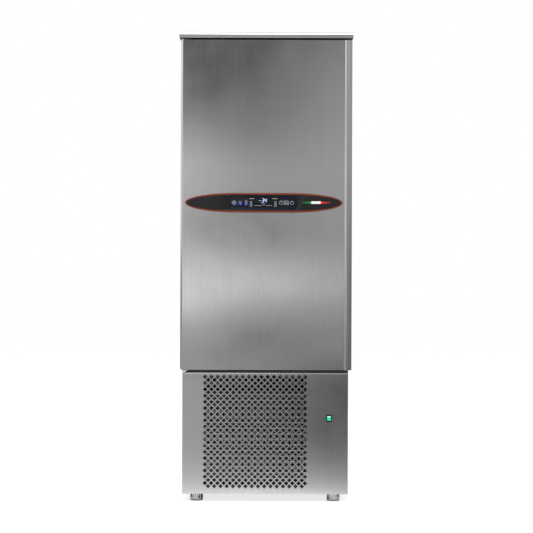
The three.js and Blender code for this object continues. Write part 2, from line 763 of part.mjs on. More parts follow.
function doorInnerLiner() {
  const face = DOOR_BACK - SHEET;
  const slab = doorSlab(LINER_EDGE, DOOR_BACK);
  const sheet = slab.intersect(block(DOOR_LEFT, SLAB_RIGHT, face, DOOR_BACK, DOOR_BOTTOM, DOOR_TOP));
  const plug = plugBlock(0, face, DOOR_BACK + PLUG_T);
  const plugRoom = plugBlock(SHEET, face - SHEET, DOOR_BACK + PLUG_T - SHEET);
  return sheet.add(plug).subtract(plugRoom);
}

function doorFoam() {
  const back = DOOR_BACK - LINER_EDGE;
  const plug = plugBlock(LINER_EDGE, back - SHEET, DOOR_BACK + PLUG_T - LINER_EDGE);
  return doorSlab(LINER_EDGE, back).add(plug).subtract(hingeBores());
}

// A hollow section carried round the door just outside the cabinet's opening, with mitred corners.
function doorGasket() {
  const y0 = DOOR_BACK + CLEAR;
  const y1 = CABINET_FRONT - CLEAR;
  const frame = (grow, from, to) =>
    block(-CAVITY.x - grow, CAVITY.x + grow, from, to, CAVITY.bottom - grow, CAVITY.top + grow);
  const outer = GASKET_INSET + GASKET_W;
  const ring = frame(outer, y0, y1).subtract(frame(GASKET_INSET, y0 - OVER, y1 + OVER));
  const grooveOuter = frame(outer - GASKET_WALL, y0 - OVER, y0 + GASKET_WALL);
  const grooveInner = frame(GASKET_INSET + GASKET_WALL, y0 - 2 * OVER, y0 + 2 * GASKET_WALL);
  return ring.subtract(grooveOuter.subtract(grooveInner));
}

// The full-height pull: a channel open to the right, its front wall crowned and turned back at the edge.
function doorHandle() {
  const left = SLAB_RIGHT + CLEAR;
  const wall = HANDLE_WALL;
  const rightFront = DOOR_FRONT + HANDLE_CROWN;
  const tip = rightFront + HANDLE_LIP;
  const middle = (left + DOOR_RIGHT) / 2;
  const grooveBack = DOOR_BACK - HANDLE_BACK;
  const innerX = left + 2 * wall;
  const innerY = DOOR_FRONT + 2 * HANDLE_STEP + wall;
  const shape = new THREE.Shape();
  shape.moveTo(left, DOOR_FRONT + HANDLE_STEP);
  shape.quadraticCurveTo(middle, DOOR_FRONT - HANDLE_STEP, DOOR_RIGHT - wall, rightFront);
  shape.quadraticCurveTo(DOOR_RIGHT, rightFront + HANDLE_STEP, DOOR_RIGHT, rightFront + 2 * wall);
  shape.lineTo(DOOR_RIGHT, tip);
  shape.lineTo(DOOR_RIGHT - wall, tip);
  shape.lineTo(DOOR_RIGHT - wall, rightFront + 2 * wall);
  shape.quadraticCurveTo(middle, innerY - HANDLE_STEP, innerX, innerY);
  shape.lineTo(left + wall, innerY + wall);
  shape.lineTo(left + wall, grooveBack - wall);
  shape.lineTo(innerX, grooveBack);
  shape.lineTo(DOOR_RIGHT - 2 * wall, grooveBack);
  shape.lineTo(DOOR_RIGHT - wall, grooveBack + wall);
  shape.lineTo(DOOR_RIGHT - wall, DOOR_BACK);
  shape.lineTo(left, DOOR_BACK);
  shape.closePath();
  return pushed("z", shape, DOOR_BOTTOM, DOOR_TOP, HANDLE_STEPS);
}

// ---------------------------------------------------------------- control fascia

// A long lozenge: straight top and bottom, half-ellipse ends.
function lozenge(inset) {
  const straight = FASCIA_STRAIGHT / 2;
  const halfHeight = FASCIA_H / 2 - inset;
  const end = FASCIA_END - inset;
  const shape = new THREE.Shape();
  shape.moveTo(-FASCIA_X - straight, FASCIA_Z - halfHeight);
  shape.lineTo(-FASCIA_X + straight, FASCIA_Z - halfHeight);
  shape.absellipse(-FASCIA_X + straight, FASCIA_Z, end, halfHeight, -Math.PI / 2, Math.PI / 2);
  shape.lineTo(-FASCIA_X - straight, FASCIA_Z + halfHeight);
  shape.absellipse(-FASCIA_X - straight, FASCIA_Z, end, halfHeight, Math.PI / 2, 1.5 * Math.PI);
  return shape;
}

function roundedWindow(grow) {
  const halfWidth = WINDOW_W / 2 + grow;
  const halfHeight = WINDOW_H / 2 + grow;
  const radius = WINDOW_R + grow;
  const shape = new THREE.Shape();
  const places = [
    [-1, -1, Math.PI],
    [1, -1, 1.5 * Math.PI],
    [1, 1, 0],
    [-1, 1, Math.PI / 2],
  ];
  for (const [sx, sz, angle] of places) {
    const x = -FASCIA_X + sx * (halfWidth - radius);
    const z = FASCIA_Z + sz * (halfHeight - radius);
    shape.absarc(x, z, radius, angle, angle + Math.PI / 2);
  }
  shape.closePath();
  return shape;
}

const FASCIA_BACK = DOOR_FRONT - CLEAR;
const FASCIA_FRONT = DOOR_FRONT - FASCIA_T;
const TRIM_FRONT = FASCIA_FRONT + TRIM_BACK;

function boardBlock(grow, back) {
  const width = BOARD_W / 2 + grow;
  const height = BOARD_H / 2 + grow;
  const front = FASCIA_BACK - CLEAR - BOARD_T - grow;
  return block(FASCIA_X - width, FASCIA_X + width, front, back, FASCIA_Z - height, FASCIA_Z + height);
}

function controlFascia() {
  const body = pushed("y", lozenge(TRIM_W + CLEAR), FASCIA_FRONT, FASCIA_BACK, FASCIA_STEPS);
  const windowSeat = FASCIA_FRONT + WINDOW_T + 2 * CLEAR;
  const seat = pushed("y", roundedWindow(CLEAR), FASCIA_FRONT - OVER, windowSeat, WINDOW_STEPS);
  return body.subtract(seat).subtract(boardBlock(CLEAR, FASCIA_BACK + OVER));
}

function fasciaTrim() {
  const outer = pushed("y", lozenge(0), TRIM_FRONT, FASCIA_BACK, FASCIA_STEPS);
  const inner = pushed("y", lozenge(TRIM_W), TRIM_FRONT - OVER, FASCIA_BACK + OVER, FASCIA_STEPS);
  return outer.subtract(inner);
}

function displayWindow() {
  const front = FASCIA_FRONT + CLEAR;
  return pushed("y", roundedWindow(0), front, front + WINDOW_T, WINDOW_STEPS);
}

// ---------------------------------------------------------------- hinges

// The lower bracket; the upper one is its mirror image. An upright leaf on the cabinet carries a flat leaf
// under the door, which holds the pin.
function hingeBracket(flatLow, up) {
  const x0 = HINGE_X - LEAF_OVERHANG;
  const x1 = x0 + LEAF_W;
  const y1 = CABINET_FRONT - CLEAR;
  const flat = block(x0, x1, HINGE_Y - LEAF_REACH, y1, flatLow, flatLow + LEAF_T);
  const z0 = up ? flatLow : flatLow + LEAF_T - LEAF_H;
  const upright = block(x0, x1, y1 - LEAF_T / 2, y1, z0, z0 + LEAF_H);
  const bore = holeUp(PIN_R + CLEAR, 3 * LEAF_T, HINGE_X, HINGE_Y, flatLow - LEAF_T);
  return flat.add(upright).subtract(bore);
}

const LOWER_LEAF = DOOR_BOTTOM - LEAF_DOOR_GAP - LEAF_T;
const UPPER_LEAF = DOOR_TOP + LEAF_DOOR_GAP;

// A headed pin that stands up out of the lower leaf into the door.
function hingePin() {
  const headTop = LOWER_LEAF - CLEAR;
  return turned(
    [
      [0, headTop - PIN_HEAD_T],
      [PIN_HEAD_R, headTop - PIN_HEAD_T],
      [PIN_HEAD_R, headTop],
      [PIN_R, headTop],
      [PIN_R, DOOR_BOTTOM + PIN_IN_DOOR],
      [0, DOOR_BOTTOM + PIN_IN_DOOR],
    ],
    ROUND_SIDES,
  ).translate([HINGE_X, HINGE_Y, 0]);
}

// The same pin turned over, hanging down from the upper leaf.
function upperHingePin() {
  const middle = DOOR_BOTTOM + DOOR_TOP;
  return hingePin().mirror([0, 0, 1]).translate([0, 0, middle]);
}

// ---------------------------------------------------------------- switch

function switchHousing() {
  const face = PANEL_FACE - CLEAR;
  const front = face - BEZEL_T;
  const back = PANEL_FACE + SWITCH_D;
  const around = (width, height, y0, y1) =>
    block(
      SWITCH_X - width / 2,
      SWITCH_X + width / 2,
      y0,
      y1,
      SWITCH_Z - height / 2,
      SWITCH_Z + height / 2,
    );
  const bezel = around(BEZEL_W, BEZEL_H, front, face);
  const barrel = around(SWITCH_W, SWITCH_H, front, back);
  const wall = 2 * SWITCH_WALL;
  const pocket = around(SWITCH_W - wall, SWITCH_H - wall, front - OVER, back - SWITCH_WALL);
  return bezel.add(barrel).subtract(pocket);
}

// A rocker with two flat halves that meet at its pivot, drawn level and then tipped to its "on" side.
function rocker() {
  const halfHeight = SWITCH_H / 2 - SWITCH_WALL - ROCKER_END_GAP;
  const halfWidth = SWITCH_W / 2 - SWITCH_WALL - CLEAR;
  const proud = ROCKER_PROUD + ROCKER_PIVOT_IN;
  const rise = halfHeight * Math.tan(THREE.MathUtils.degToRad(ROCKER_TILT));
  const shape = polygon([
    [-proud, 0],
    [-proud - rise, -halfHeight],
    [ROCKER_HEEL, -halfHeight + ROCKER_HEEL],
    [ROCKER_KEEL, 0],
    [ROCKER_HEEL, halfHeight - ROCKER_HEEL],
    [-proud - rise, halfHeight],
  ]);
  return pushed("x", shape, -halfWidth, halfWidth);
}

// ---------------------------------------------------------------- racks, probe

// A stainless sheet on the wall with a ledge pressed out of it for each level.
function trayRack(hand) {
  const wall = CAVITY.x - CLEAR;
  const face = wall - RACK_SHEET;
  const y0 = CAVITY.front + RACK_FROM_FRONT;
  const y1 = FAN_PANEL_FRONT - RACK_BACK_GAP;
  const tall = (LEVELS - 1) * LEVEL_PITCH;
  const low = (CAVITY.bottom + CAVITY.top - tall) / 2;
  const parts = [block(face, wall, y0, y1, low - RACK_MARGIN, low + tall + RACK_MARGIN)];
  for (let level = 0; level < LEVELS; level += 1) {
    const z = low + level * LEVEL_PITCH;
    parts.push(block(face - LEDGE_W, face + LEDGE_T, y0 + LEDGE_INSET, y1 - LEDGE_INSET, z, z + LEDGE_T));
  }
  const rack = joined(parts);
  return hand < 0 ? rack.mirror([1, 0, 0]) : rack;
}

const PROBE_X = CAVITY.x - CLEAR - HOLDER_D / 2;
const PROBE_Y = CAVITY.front + PROBE_FROM_FRONT;
const GRIP_TOP = CAVITY.top - PROBE_DROP;

// A block on the right wall, behind the opening, with an upright bore for the probe's grip.
function probeHolder() {
  const x1 = CAVITY.x - CLEAR;
  const z0 = GRIP_TOP - PROBE_GRIP_L / 2;
  const y0 = PROBE_Y - HOLDER_W / 2;
  const body = block(x1 - HOLDER_D, x1, y0, y0 + HOLDER_W, z0, z0 + HOLDER_H);
  return body.subtract(holeUp(PROBE_GRIP_R + CLEAR, HOLDER_H + 2 * OVER, PROBE_X, PROBE_Y, z0 - OVER));
}

function coreProbe() {
  const grip = PROBE_GRIP_L;
  const collar = PROBE_GRIP_R + PROBE_COLLAR;
  const rest = grip / 2 + HOLDER_H - grip + CLEAR;
  const profile = [
    [0, -grip - PROBE_L],
    [PROBE_R, -grip - PROBE_L + 4 * PROBE_R],
    [PROBE_R, -grip],
    [PROBE_GRIP_R, -grip + PROBE_GRIP_R],
    [PROBE_GRIP_R, rest],
    [collar, rest],
    [collar, 0],
    [0, 0],
  ];
  return turned(profile, ROUND_SIDES).translate([PROBE_X, PROBE_Y, GRIP_TOP]);
}

// ---------------------------------------------------------------- air side

// A wheel about Y, centred on its hub: flat blades set at an angle, with a bore for the shaft.
function fanWheel(radius, hubRadius, depth, pitch) {
  const chord = depth / Math.sin(THREE.MathUtils.degToRad(pitch));
  const tip = Math.sqrt(radius ** 2 - (chord / 2) ** 2); // flat blade ends, with their corners at the radius
  const blades = [];
  for (let i = 0; i < FAN_BLADES; i += 1) {
    const root = hubRadius * FAN_BLADE_ROOT;
    const blade = block(-chord / 2, chord / 2, -FAN_BLADE_T / 2, FAN_BLADE_T / 2, root, tip);
    blades.push(blade.rotate([0, 0, pitch]).rotate([0, (i * 360) / FAN_BLADES, 0]));
  }
  const hub = rodAlongY(hubRadius, depth, ROUND_SIDES, 0, -depth / 2, 0);
  const bore = holeAlongY(SHAFT_R + CLEAR, depth, SMALL_SIDES, 0, CLEAR - depth / 4, 0);
  return joined([...blades, hub]).subtract(bore);
}

// A motor about Y behind its wheel, its shaft in the wheel's hub, with arms out to the panel it hangs on.
function fanMotor(radius, length, wheelDepth, armReach, armFront, arms) {
  const start = wheelDepth / 2 + MOTOR_WHEEL_GAP;
  const can = rodAlongY(radius, length, ROUND_SIDES, 0, start, 0);
  const shaftTip = 3 * CLEAR - wheelDepth / 4;
  const parts = [can, rodAlongY(SHAFT_R, start + OVER - shaftTip, SMALL_SIDES, 0, shaftTip, 0)];
  for (let i = 0; i < arms; i += 1) {
    const bar = block(-ARM_W / 2, ARM_W / 2, start + ARM_T, start + 2 * ARM_T, radius - ARM_ROOT, armReach);
    const toe = block(-ARM_W / 2, ARM_W / 2, armFront, start + 2 * ARM_T, armReach - ARM_T, armReach);
    const angle = ((i + 0.5) * 360) / arms;
    parts.push(bar.add(toe).rotate([0, angle, 0]));
  }
  return joined(parts);
}

const FAN_HOLE_R = FAN_R + FAN_TIP_GAP;
const FAN_PANEL_TOP = CAVITY.top - FAN_PANEL_END_GAP;
const FAN_PANEL_BOTTOM = CAVITY.bottom + FAN_PANEL_END_GAP;

function fanHeights() {
  return Array.from({ length: FAN_COUNT }, (_, i) => FAN_MIDDLE_Z + (i - (FAN_COUNT - 1) / 2) * FAN_PITCH);
}

// A sheet across the cavity with a round hole for each fan and flanges that reach back to the walls.
function fanPanel() {
  const half = CAVITY.x - FAN_PANEL_SIDE_GAP;
  const y0 = FAN_PANEL_FRONT;
  const y1 = y0 + SHEET;
  const sheet = block(-half, half, y0, y1, FAN_PANEL_BOTTOM, FAN_PANEL_TOP);
  const edge = block(-half, -half + SHEET, y0, y0 + FAN_PANEL_FLANGE, FAN_PANEL_BOTTOM, FAN_PANEL_TOP);
  const foot = block(
    -CAVITY.x + CLEAR,
    -half + SHEET,
    y0 + FAN_PANEL_FLANGE - SHEET,
    y0 + FAN_PANEL_FLANGE,
    FAN_PANEL_BOTTOM,
    FAN_PANEL_TOP,
  );
  const side = edge.add(foot);
  const through = SHEET + 2 * OVER;
  const holes = fanHeights().map((z) => holeAlongY(FAN_HOLE_R, through, FAN_HOLE_SIDES, 0, y0 - OVER, z));
  return joined([sheet, side, side.mirror([1, 0, 0])]).subtract(joined(holes));
}

// A block of upright fins over a solid core, drawn as a comb and pushed up.
function finnedCore(x0, x1, y0, y1, z0, z1, fins) {
  const pitch = (x1 - x0 - FIN_T) / fins;
  const points = [[x0, y1]];
  for (let i = 0; i <= fins; i += 1) {
    const x = x0 + i * pitch;
    points.push([x, y0], [x + FIN_T, y0]);
    if (i < fins) points.push([x + FIN_T, y0 + FIN_DEPTH], [x + pitch, y0 + FIN_DEPTH]);
  }
  points.push([x1, y1]);
  return pushed("z", polygon(points), z0, z1);
}

function evaporatorCoil() {
  const half = COIL_W / 2;
  const top = COIL_BOTTOM + COIL_H;
  const core = finnedCore(-half, half, COIL_FRONT, COIL_BACK, COIL_BOTTOM, top, COIL_FINS);
  const plateBottom = DRIP_FLOOR + SHEET + CLEAR;
  const plateTop = top + COIL_PLATE_RISE;
  const plates = [-half, half].map((middle) => {
    const x0 = middle - COIL_PLATE_T / 2;
    const x1 = middle + COIL_PLATE_T / 2;
    const plate = block(x0, x1, COIL_FRONT - COIL_PLATE_PROUD, COIL_BACK, plateBottom, plateTop);
    const tab = block(x0, x1, COIL_BACK - COIL_TAB_D, CAVITY.back - CLEAR, top - COIL_TAB_H, plateTop);
    return plate.add(tab);
  });
  return joined([core, ...plates]);
}

function dripPan() {
  const half = COIL_W / 2 + DRIP_PAN_MARGIN;
  const y0 = COIL_FRONT - DRIP_PAN_MARGIN;
  const y1 = CAVITY.back - CLEAR;
  const outside = block(-half, half, y0, y1, DRIP_FLOOR, DRIP_FLOOR + DRIP_PAN_H);
  const floor = DRIP_FLOOR + SHEET;
  const room = block(-half + SHEET, half - SHEET, y0 + SHEET, y1 - SHEET, floor, floor + DRIP_PAN_H);
  const pads = [-1, 1].map((hand) => {
    const x = hand * (half - 2 * DRIP_PAN_MARGIN);
    const x0 = x - DRIP_PAD_W / 2;
    const inset = DRIP_PAD_INSET;
    return block(x0, x0 + DRIP_PAD_W, y0 + inset, y1 - inset, CAVITY.bottom + CLEAR, DRIP_FLOOR);
  });
  const spoutBottom = BASE_FLOOR + TRAY_H;
  const spoutLength = floor - spoutBottom;
  const spout = rodUp(DRAIN_R, spoutLength, ROUND_SIDES, 0, DRAIN_Y, spoutBottom);
  const bore = rodUp(DRAIN_BORE, spoutLength + 2 * OVER, ROUND_SIDES, 0, DRAIN_Y, spoutBottom - OVER);
  return joined([outside.subtract(room), ...pads, spout]).subtract(bore);
}

// A brass body on the liquid riser's end, with an outlet stub to the coil.
function expansionValve() {
  const x = LIQUID_X;
  const y = RISER_Y;
  const body = rodUp(VALVE_R, VALVE_H, ROUND_SIDES, x, y, VALVE_Z);
  const head = rodUp(VALVE_HEAD_R, VALVE_HEAD_H, ROUND_SIDES, x, y, VALVE_Z + VALVE_H);
  const outlet = rodAlongY(PIPE_R, COIL_FRONT - CLEAR - y, SMALL_SIDES, x, y, VALVE_Z + VALVE_H / 2);
  return joined([body, head, outlet]);
}

// ---------------------------------------------------------------- machine bay

function condenserCoil() {
  const x0 = CONDENSER_X - CONDENSER_W / 2;
  const x1 = CONDENSER_X + CONDENSER_W / 2;
  const top = CONDENSER_BOTTOM + CONDENSER_H;
  const front = CONDENSER_FRONT;
  const core = finnedCore(x0, x1, front, CONDENSER_BACK, CONDENSER_BOTTOM, top, CONDENSER_FINS);
  const plateFront = front - CONDENSER_PLATE_PROUD;
  const plateTop = top + CONDENSER_PLATE_RISE;
  const plates = [x0, x1].map((middle) => {
    const left = middle - CONDENSER_PLATE_T / 2;
    return block(left, left + CONDENSER_PLATE_T, plateFront, CONDENSER_BACK, STANDING, plateTop);
  });
  return joined([core, ...plates]);
}

// A shallow box behind the coil that leads its air to the fan's round opening.
function condenserShroud() {
  const half = (CONDENSER_W + CONDENSER_PLATE_T) / 2;
  const top = CONDENSER_BOTTOM + CONDENSER_H;
  const wall = SHROUD_WALL;
  const box = (inset, y0, y1, z0) =>
    block(CONDENSER_X - half + inset, CONDENSER_X + half - inset, y0, y1, z0, top - inset);
  const outside = box(0, SHROUD_FRONT, SHROUD_BACK, STANDING);
  const inner = box(wall, SHROUD_FRONT - OVER, SHROUD_BACK - wall, STANDING + wall);
  const radius = COOLING_FAN_R + FAN_TIP_GAP;
  const through = wall + 2 * OVER;
  const holeFrom = SHROUD_BACK - wall - OVER;
  const hole = holeAlongY(radius, through, SHROUD_HOLE_SIDES, CONDENSER_X, holeFrom, COOLING_Z);
  return outside.subtract(inner).subtract(hole);
}

// A hermetic can on a base plate with four legs, with its terminal cover on the side.
function compressor() {
  const r = COMPRESSOR_R;
  const h = COMPRESSOR_H;
  const can = turned(
    [
      [0, 0],
      [r * 0.8, 0],
      [r, h * 0.12],
      [r, h * 0.85],
      [r * 0.85, h * 0.96],
      [r * 0.5, h],
      [0, h],
    ],
    COMPRESSOR_SIDES,
  ).translate([0, 0, COMPRESSOR_LEG]);
  const t = COMPRESSOR_PLATE_T;
  const plate = block(-r, r, -r, r, COMPRESSOR_LEG, COMPRESSOR_LEG + t);
  const reach = r - COMPRESSOR_LEG_INSET;
  const legs = [];
  for (const x of [-reach, reach]) {
    for (const y of [-reach, reach]) {
      legs.push(rodUp(COMPRESSOR_LEG_R, COMPRESSOR_LEG + t, SMALL_SIDES, x, y, 0));
    }
  }
  const cover = block(r * 0.8, r + TERMINAL_REACH, -TERMINAL_W / 2, TERMINAL_W / 2, h * 0.42, h * 0.72);
  return joined([can, plate, ...legs, cover]);
}

function vessel(radius, height) {
  return turned(
    [
      [0, 0],
      [radius * 0.7, 0],
      [radius, height * 0.1],
      [radius, height * 0.9],
      [radius * 0.7, height],
      [0, height],
    ],
    ROUND_SIDES,
  );
}

const COMPRESSOR_TOP = STANDING + COMPRESSOR_LEG + COMPRESSOR_H;
const RECEIVER_TOP = STANDING + RECEIVER_FOOT + RECEIVER_H;
const LIQUID_LEVEL = RECEIVER_TOP + LIQUID_PIPE_RISE;
const DRIER_BOTTOM = LIQUID_LEVEL + PIPE_BEND + DRIER_PIPE_GAP;
const DRIER_L = BAY_TOP - DRIER_BELOW_CEILING - DRIER_BOTTOM;
const CONDENSER_SIDE = CONDENSER_X + (CONDENSER_W + CONDENSER_PLATE_T) / 2 + CLEAR;
const CONDENSER_MIDDLE_Y = (CONDENSER_FRONT + CONDENSER_BACK) / 2;
const PIPE_TURN_X = CONDENSER_SIDE + CONDENSER_PIPE_REACH;

function liquidReceiver() {
  const body = vessel(RECEIVER_R, RECEIVER_H).translate([0, 0, RECEIVER_FOOT]);
  const plinth = rodUp(RECEIVER_FOOT_R, RECEIVER_FOOT + RECEIVER_H * 0.1, ROUND_SIDES, 0, 0, 0);
  return body.add(plinth);
}

// A can threaded on the liquid line, under the bay's ceiling.
function filterDrier() {
  const can = vessel(DRIER_R, DRIER_L);
  return can.subtract(holeUp(PIPE_R + CLEAR, DRIER_L + 2 * OVER, 0, 0, -OVER));
}

// Compressor's side to the top of the condenser.
function dischargeLine() {
  const outletZ = STANDING + COMPRESSOR_LEG + COMPRESSOR_H * 0.7;
  const outletY = RISER_Y - COMPRESSOR_R - CLEAR;
  const levelY = outletY - 2 * PIPE_BEND;
  const z = CONDENSER_BOTTOM + CONDENSER_H - CONDENSER_PIPE_INSET;
  const corners = [
    [COMPRESSOR_X, outletY, outletZ],
    [COMPRESSOR_X, levelY, outletZ],
    [COMPRESSOR_X, levelY, z],
    [PIPE_TURN_X, levelY, z],
    [PIPE_TURN_X, CONDENSER_MIDDLE_Y, z],
    [CONDENSER_SIDE, CONDENSER_MIDDLE_Y, z],
  ];
  return pipe(corners, PIPE_R);
}

// Bottom of the condenser to the receiver's side.
function condenserOutletLine() {
  const z = CONDENSER_BOTTOM + CONDENSER_PIPE_INSET;
  const turnX = Math.max(PIPE_TURN_X, RECEIVER_X + RECEIVER_R + 1.5 * PIPE_BEND);
  const corners = [
    [CONDENSER_SIDE, CONDENSER_MIDDLE_Y, z],
    [turnX, CONDENSER_MIDDLE_Y, z],
    [turnX, RECEIVER_Y, z],
    [RECEIVER_X + RECEIVER_R + CLEAR, RECEIVER_Y, z],
  ];
  return pipe(corners, PIPE_R);
}

// Receiver's top to the expansion valve, up through the insulated floor.
function liquidLine() {
  const corners = [
    [RECEIVER_X, RECEIVER_Y, RECEIVER_TOP + CLEAR],
    [RECEIVER_X, RECEIVER_Y, LIQUID_LEVEL],
    [LIQUID_X, RISER_Y, LIQUID_LEVEL],
    [LIQUID_X, RISER_Y, VALVE_Z - CLEAR],
  ];
  return pipe(corners, PIPE_R);
}

// Evaporator coil's face, down through the insulated floor, to the compressor's top.
function suctionLine() {
  const level = BAY_TOP - CEILING_PIPE_DROP;
  const top = COIL_BOTTOM + SUCTION_RISE;
  const corners = [
    [SUCTION_X, COIL_FRONT - CLEAR, top],
    [SUCTION_X, RISER_Y, top],
    [SUCTION_X, RISER_Y, level],
    [COMPRESSOR_X, RISER_Y, level],
    [COMPRESSOR_X, RISER_Y, COMPRESSOR_TOP + CLEAR],
  ];
  return pipe(corners, PIPE_R);
}

// Shallow box on the right-hand side panel, which closes its open side.
function electricalBox() {
  const x1 = INSIDE - CLEAR;
  const x0 = x1 - BOX_W;
  const y0 = CABINET_FRONT + BOX_FROM_FRONT;
  const z0 = SWITCH_Z - BOX_H / 2;
  const wall = BOX_WALL;
  const outside = block(x0, x1, y0, y0 + BOX_D, z0, z0 + BOX_H);
  const room = block(x0 + wall, x1 + OVER, y0 + wall, y0 + BOX_D - wall, z0 + wall, z0 + BOX_H - wall);
  return outside.subtract(room);
}

// Open tray under the drain, where the melt water dries off.
function condensateTray() {
  const half = TRAY_W / 2;
  const wall = TRAY_WALL;
  const y0 = DRAIN_Y - TRAY_D / 2;
  const y1 = DRAIN_Y + TRAY_D / 2;
  const outside = block(-half, half, y0, y1, STANDING, STANDING + TRAY_H);
  const roomTop = STANDING + 2 * TRAY_H;
  const room = block(-half + wall, half - wall, y0 + wall, y1 - wall, STANDING + wall, roomTop);
  return outside.subtract(room);
}

// ---------------------------------------------------------------- putting it together

place("base_frame", BLACK_STEEL, baseFrame());
place("side_panel_left", BRUSHED, sidePanel(-1));
place("side_panel_right", BRUSHED, sidePanel(1));
place("back_panel", GALVANISED, backPanel());
place("rear_grille", GALVANISED, rearGrille());
place("front_panel", BRUSHED, frontPanel());
place("bay_ceiling", GALVANISED, bayCeiling());
place("top_cover", BRUSHED, topCover());
place("wall_foam", FOAM, wallFoam());
place("inner_liner", LINER_STEEL, innerLiner());
place("door_frame", GREY_PLASTIC, doorFrame());
place("cable_gland", BLACK_PLASTIC, cableGland());

for (const [corner, hand, y] of FOOT_PLACES) {
  place(`foot_${corner}`, POLISHED, foot()).position.set(hand * FOOT_X, y, 0);
}

place("tray_rack_left", LINER_STEEL, trayRack(-1));
place("tray_rack_right", LINER_STEEL, trayRack(1));
place("core_probe_holder", BLACK_PLASTIC, probeHolder());
place("core_probe", POLISHED, coreProbe());

place("fan_panel", LINER_STEEL, fanPanel());
place("evaporator_coil", ALUMINIUM, evaporatorCoil());
place("drip_pan", LINER_STEEL, dripPan());
place("expansion_valve", COPPER, expansionValve());
fanHeights().forEach((z, i) => {
  const reach = FAN_HOLE_R + ARM_W;
  const wheel = fanWheel(FAN_R, FAN_HUB_R, FAN_DEPTH, FAN_BLADE_ANGLE);
  const motor = fanMotor(MOTOR_R, MOTOR_L, FAN_DEPTH, reach, CLEAR, 3);
  const y = FAN_PANEL_FRONT + SHEET;
  place(`evaporator_fan_${i + 1}`, BLACK_PLASTIC, wheel).position.set(0, y, z);
  place(`evaporator_fan_motor_${i + 1}`, BLACK_STEEL, motor).position.set(0, y, z);
});

place("condenser_coil", ALUMINIUM, condenserCoil());
place("condenser_shroud", GALVANISED, condenserShroud());
const coolingReach = COOLING_FAN_R + FAN_TIP_GAP + ARM_W;
const coolingWheel = fanWheel(COOLING_FAN_R, COOLING_HUB_R, COOLING_DEPTH, FAN_BLADE_ANGLE);
const coolingMotor = fanMotor(COOLING_MOTOR_R, COOLING_MOTOR_L, COOLING_DEPTH, coolingReach, CLEAR, 4);
place("condenser_fan", BLACK_STEEL, coolingWheel).position.set(CONDENSER_X, SHROUD_BACK, COOLING_Z);
place("condenser_fan_motor", BLACK_STEEL, coolingMotor).position.set(CONDENSER_X, SHROUD_BACK, COOLING_Z);
place("compressor", BLACK_STEEL, compressor()).position.set(COMPRESSOR_X, RISER_Y, STANDING);
place("liquid_receiver", BLACK_STEEL, liquidReceiver()).position.set(RECEIVER_X, RECEIVER_Y, STANDING);
place("filter_drier", COPPER, filterDrier()).position.set(LIQUID_X, RISER_Y, DRIER_BOTTOM);
place("discharge_line", COPPER, dischargeLine());
place("condenser_outlet_line", COPPER, condenserOutletLine());
place("liquid_line", COPPER, liquidLine());
place("suction_line", COPPER, suctionLine());
place("electrical_box", GREY_PAINT, electricalBox());
place("condensate_tray", BLACK_PLASTIC, condensateTray());

place("switch_housing", BLACK_PLASTIC, switchHousing());
const switchRocker = place("switch_rocker", LIT_GREEN, rocker());
switchRocker.position.set(SWITCH_X, PANEL_FACE + ROCKER_PIVOT_IN, SWITCH_Z);
switchRocker.rotation.x = -THREE.MathUtils.degToRad(ROCKER_TILT);

place("hinge_bracket_bottom", POLISHED, hingeBracket(LOWER_LEAF, true));
place("hinge_bracket_top", POLISHED, hingeBracket(UPPER_LEAF, false));
place("hinge_pin_bottom", POLISHED, hingePin());
place("hinge_pin_top", POLISHED, upperHingePin());

const door = new THREE.Group();
chiller.add(door);
place("door_outer_skin", BRUSHED, doorOuterSkin(), door);
place("door_foam", FOAM, doorFoam(), door);
place("door_inner_liner", LINER_STEEL, doorInnerLiner(), door);
place("door_gasket", RUBBER, doorGasket(), door);
place("door_handle", BRUSHED, doorHandle(), door);
place("control_fascia", CHARCOAL, controlFascia(), door);
place("fascia_trim", RUST_RED, fasciaTrim(), door);
place("display_window", DARK_GLASS, displayWindow(), door);
place("control_board", BOARD_GREEN, boardBlock(0, FASCIA_BACK - CLEAR), door);

export default chiller;
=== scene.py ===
"""Looks for an upright blast chiller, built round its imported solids.

Metres, +Z up, front towards -Y. Each new piece is a form: an array of points and a list of faces, worked
out with numpy. Most forms are a profile carried round a loop, along a path or about an axis.
"""

import bmesh
import bpy
import numpy as np
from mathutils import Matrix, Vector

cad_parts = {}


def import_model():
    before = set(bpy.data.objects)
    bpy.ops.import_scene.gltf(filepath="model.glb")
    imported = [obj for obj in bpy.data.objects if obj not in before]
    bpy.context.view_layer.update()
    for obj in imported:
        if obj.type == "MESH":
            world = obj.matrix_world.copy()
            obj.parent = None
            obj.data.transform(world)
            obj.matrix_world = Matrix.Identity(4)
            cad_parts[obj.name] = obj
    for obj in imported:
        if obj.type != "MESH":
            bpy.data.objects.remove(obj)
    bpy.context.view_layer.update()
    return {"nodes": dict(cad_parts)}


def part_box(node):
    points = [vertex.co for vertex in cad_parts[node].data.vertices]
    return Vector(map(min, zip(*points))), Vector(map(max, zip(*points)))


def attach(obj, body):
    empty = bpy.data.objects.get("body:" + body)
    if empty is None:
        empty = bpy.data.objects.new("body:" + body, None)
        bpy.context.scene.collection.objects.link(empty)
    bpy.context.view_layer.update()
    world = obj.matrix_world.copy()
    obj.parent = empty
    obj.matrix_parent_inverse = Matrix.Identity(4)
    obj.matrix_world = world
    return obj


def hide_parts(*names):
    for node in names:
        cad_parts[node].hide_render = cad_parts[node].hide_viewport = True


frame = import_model()
nodes = frame["nodes"]
MM = 0.001
SHARP = 0.05 * MM  # radius of a corner meant to be sharp


# ---------------------------------------------------------------- forms

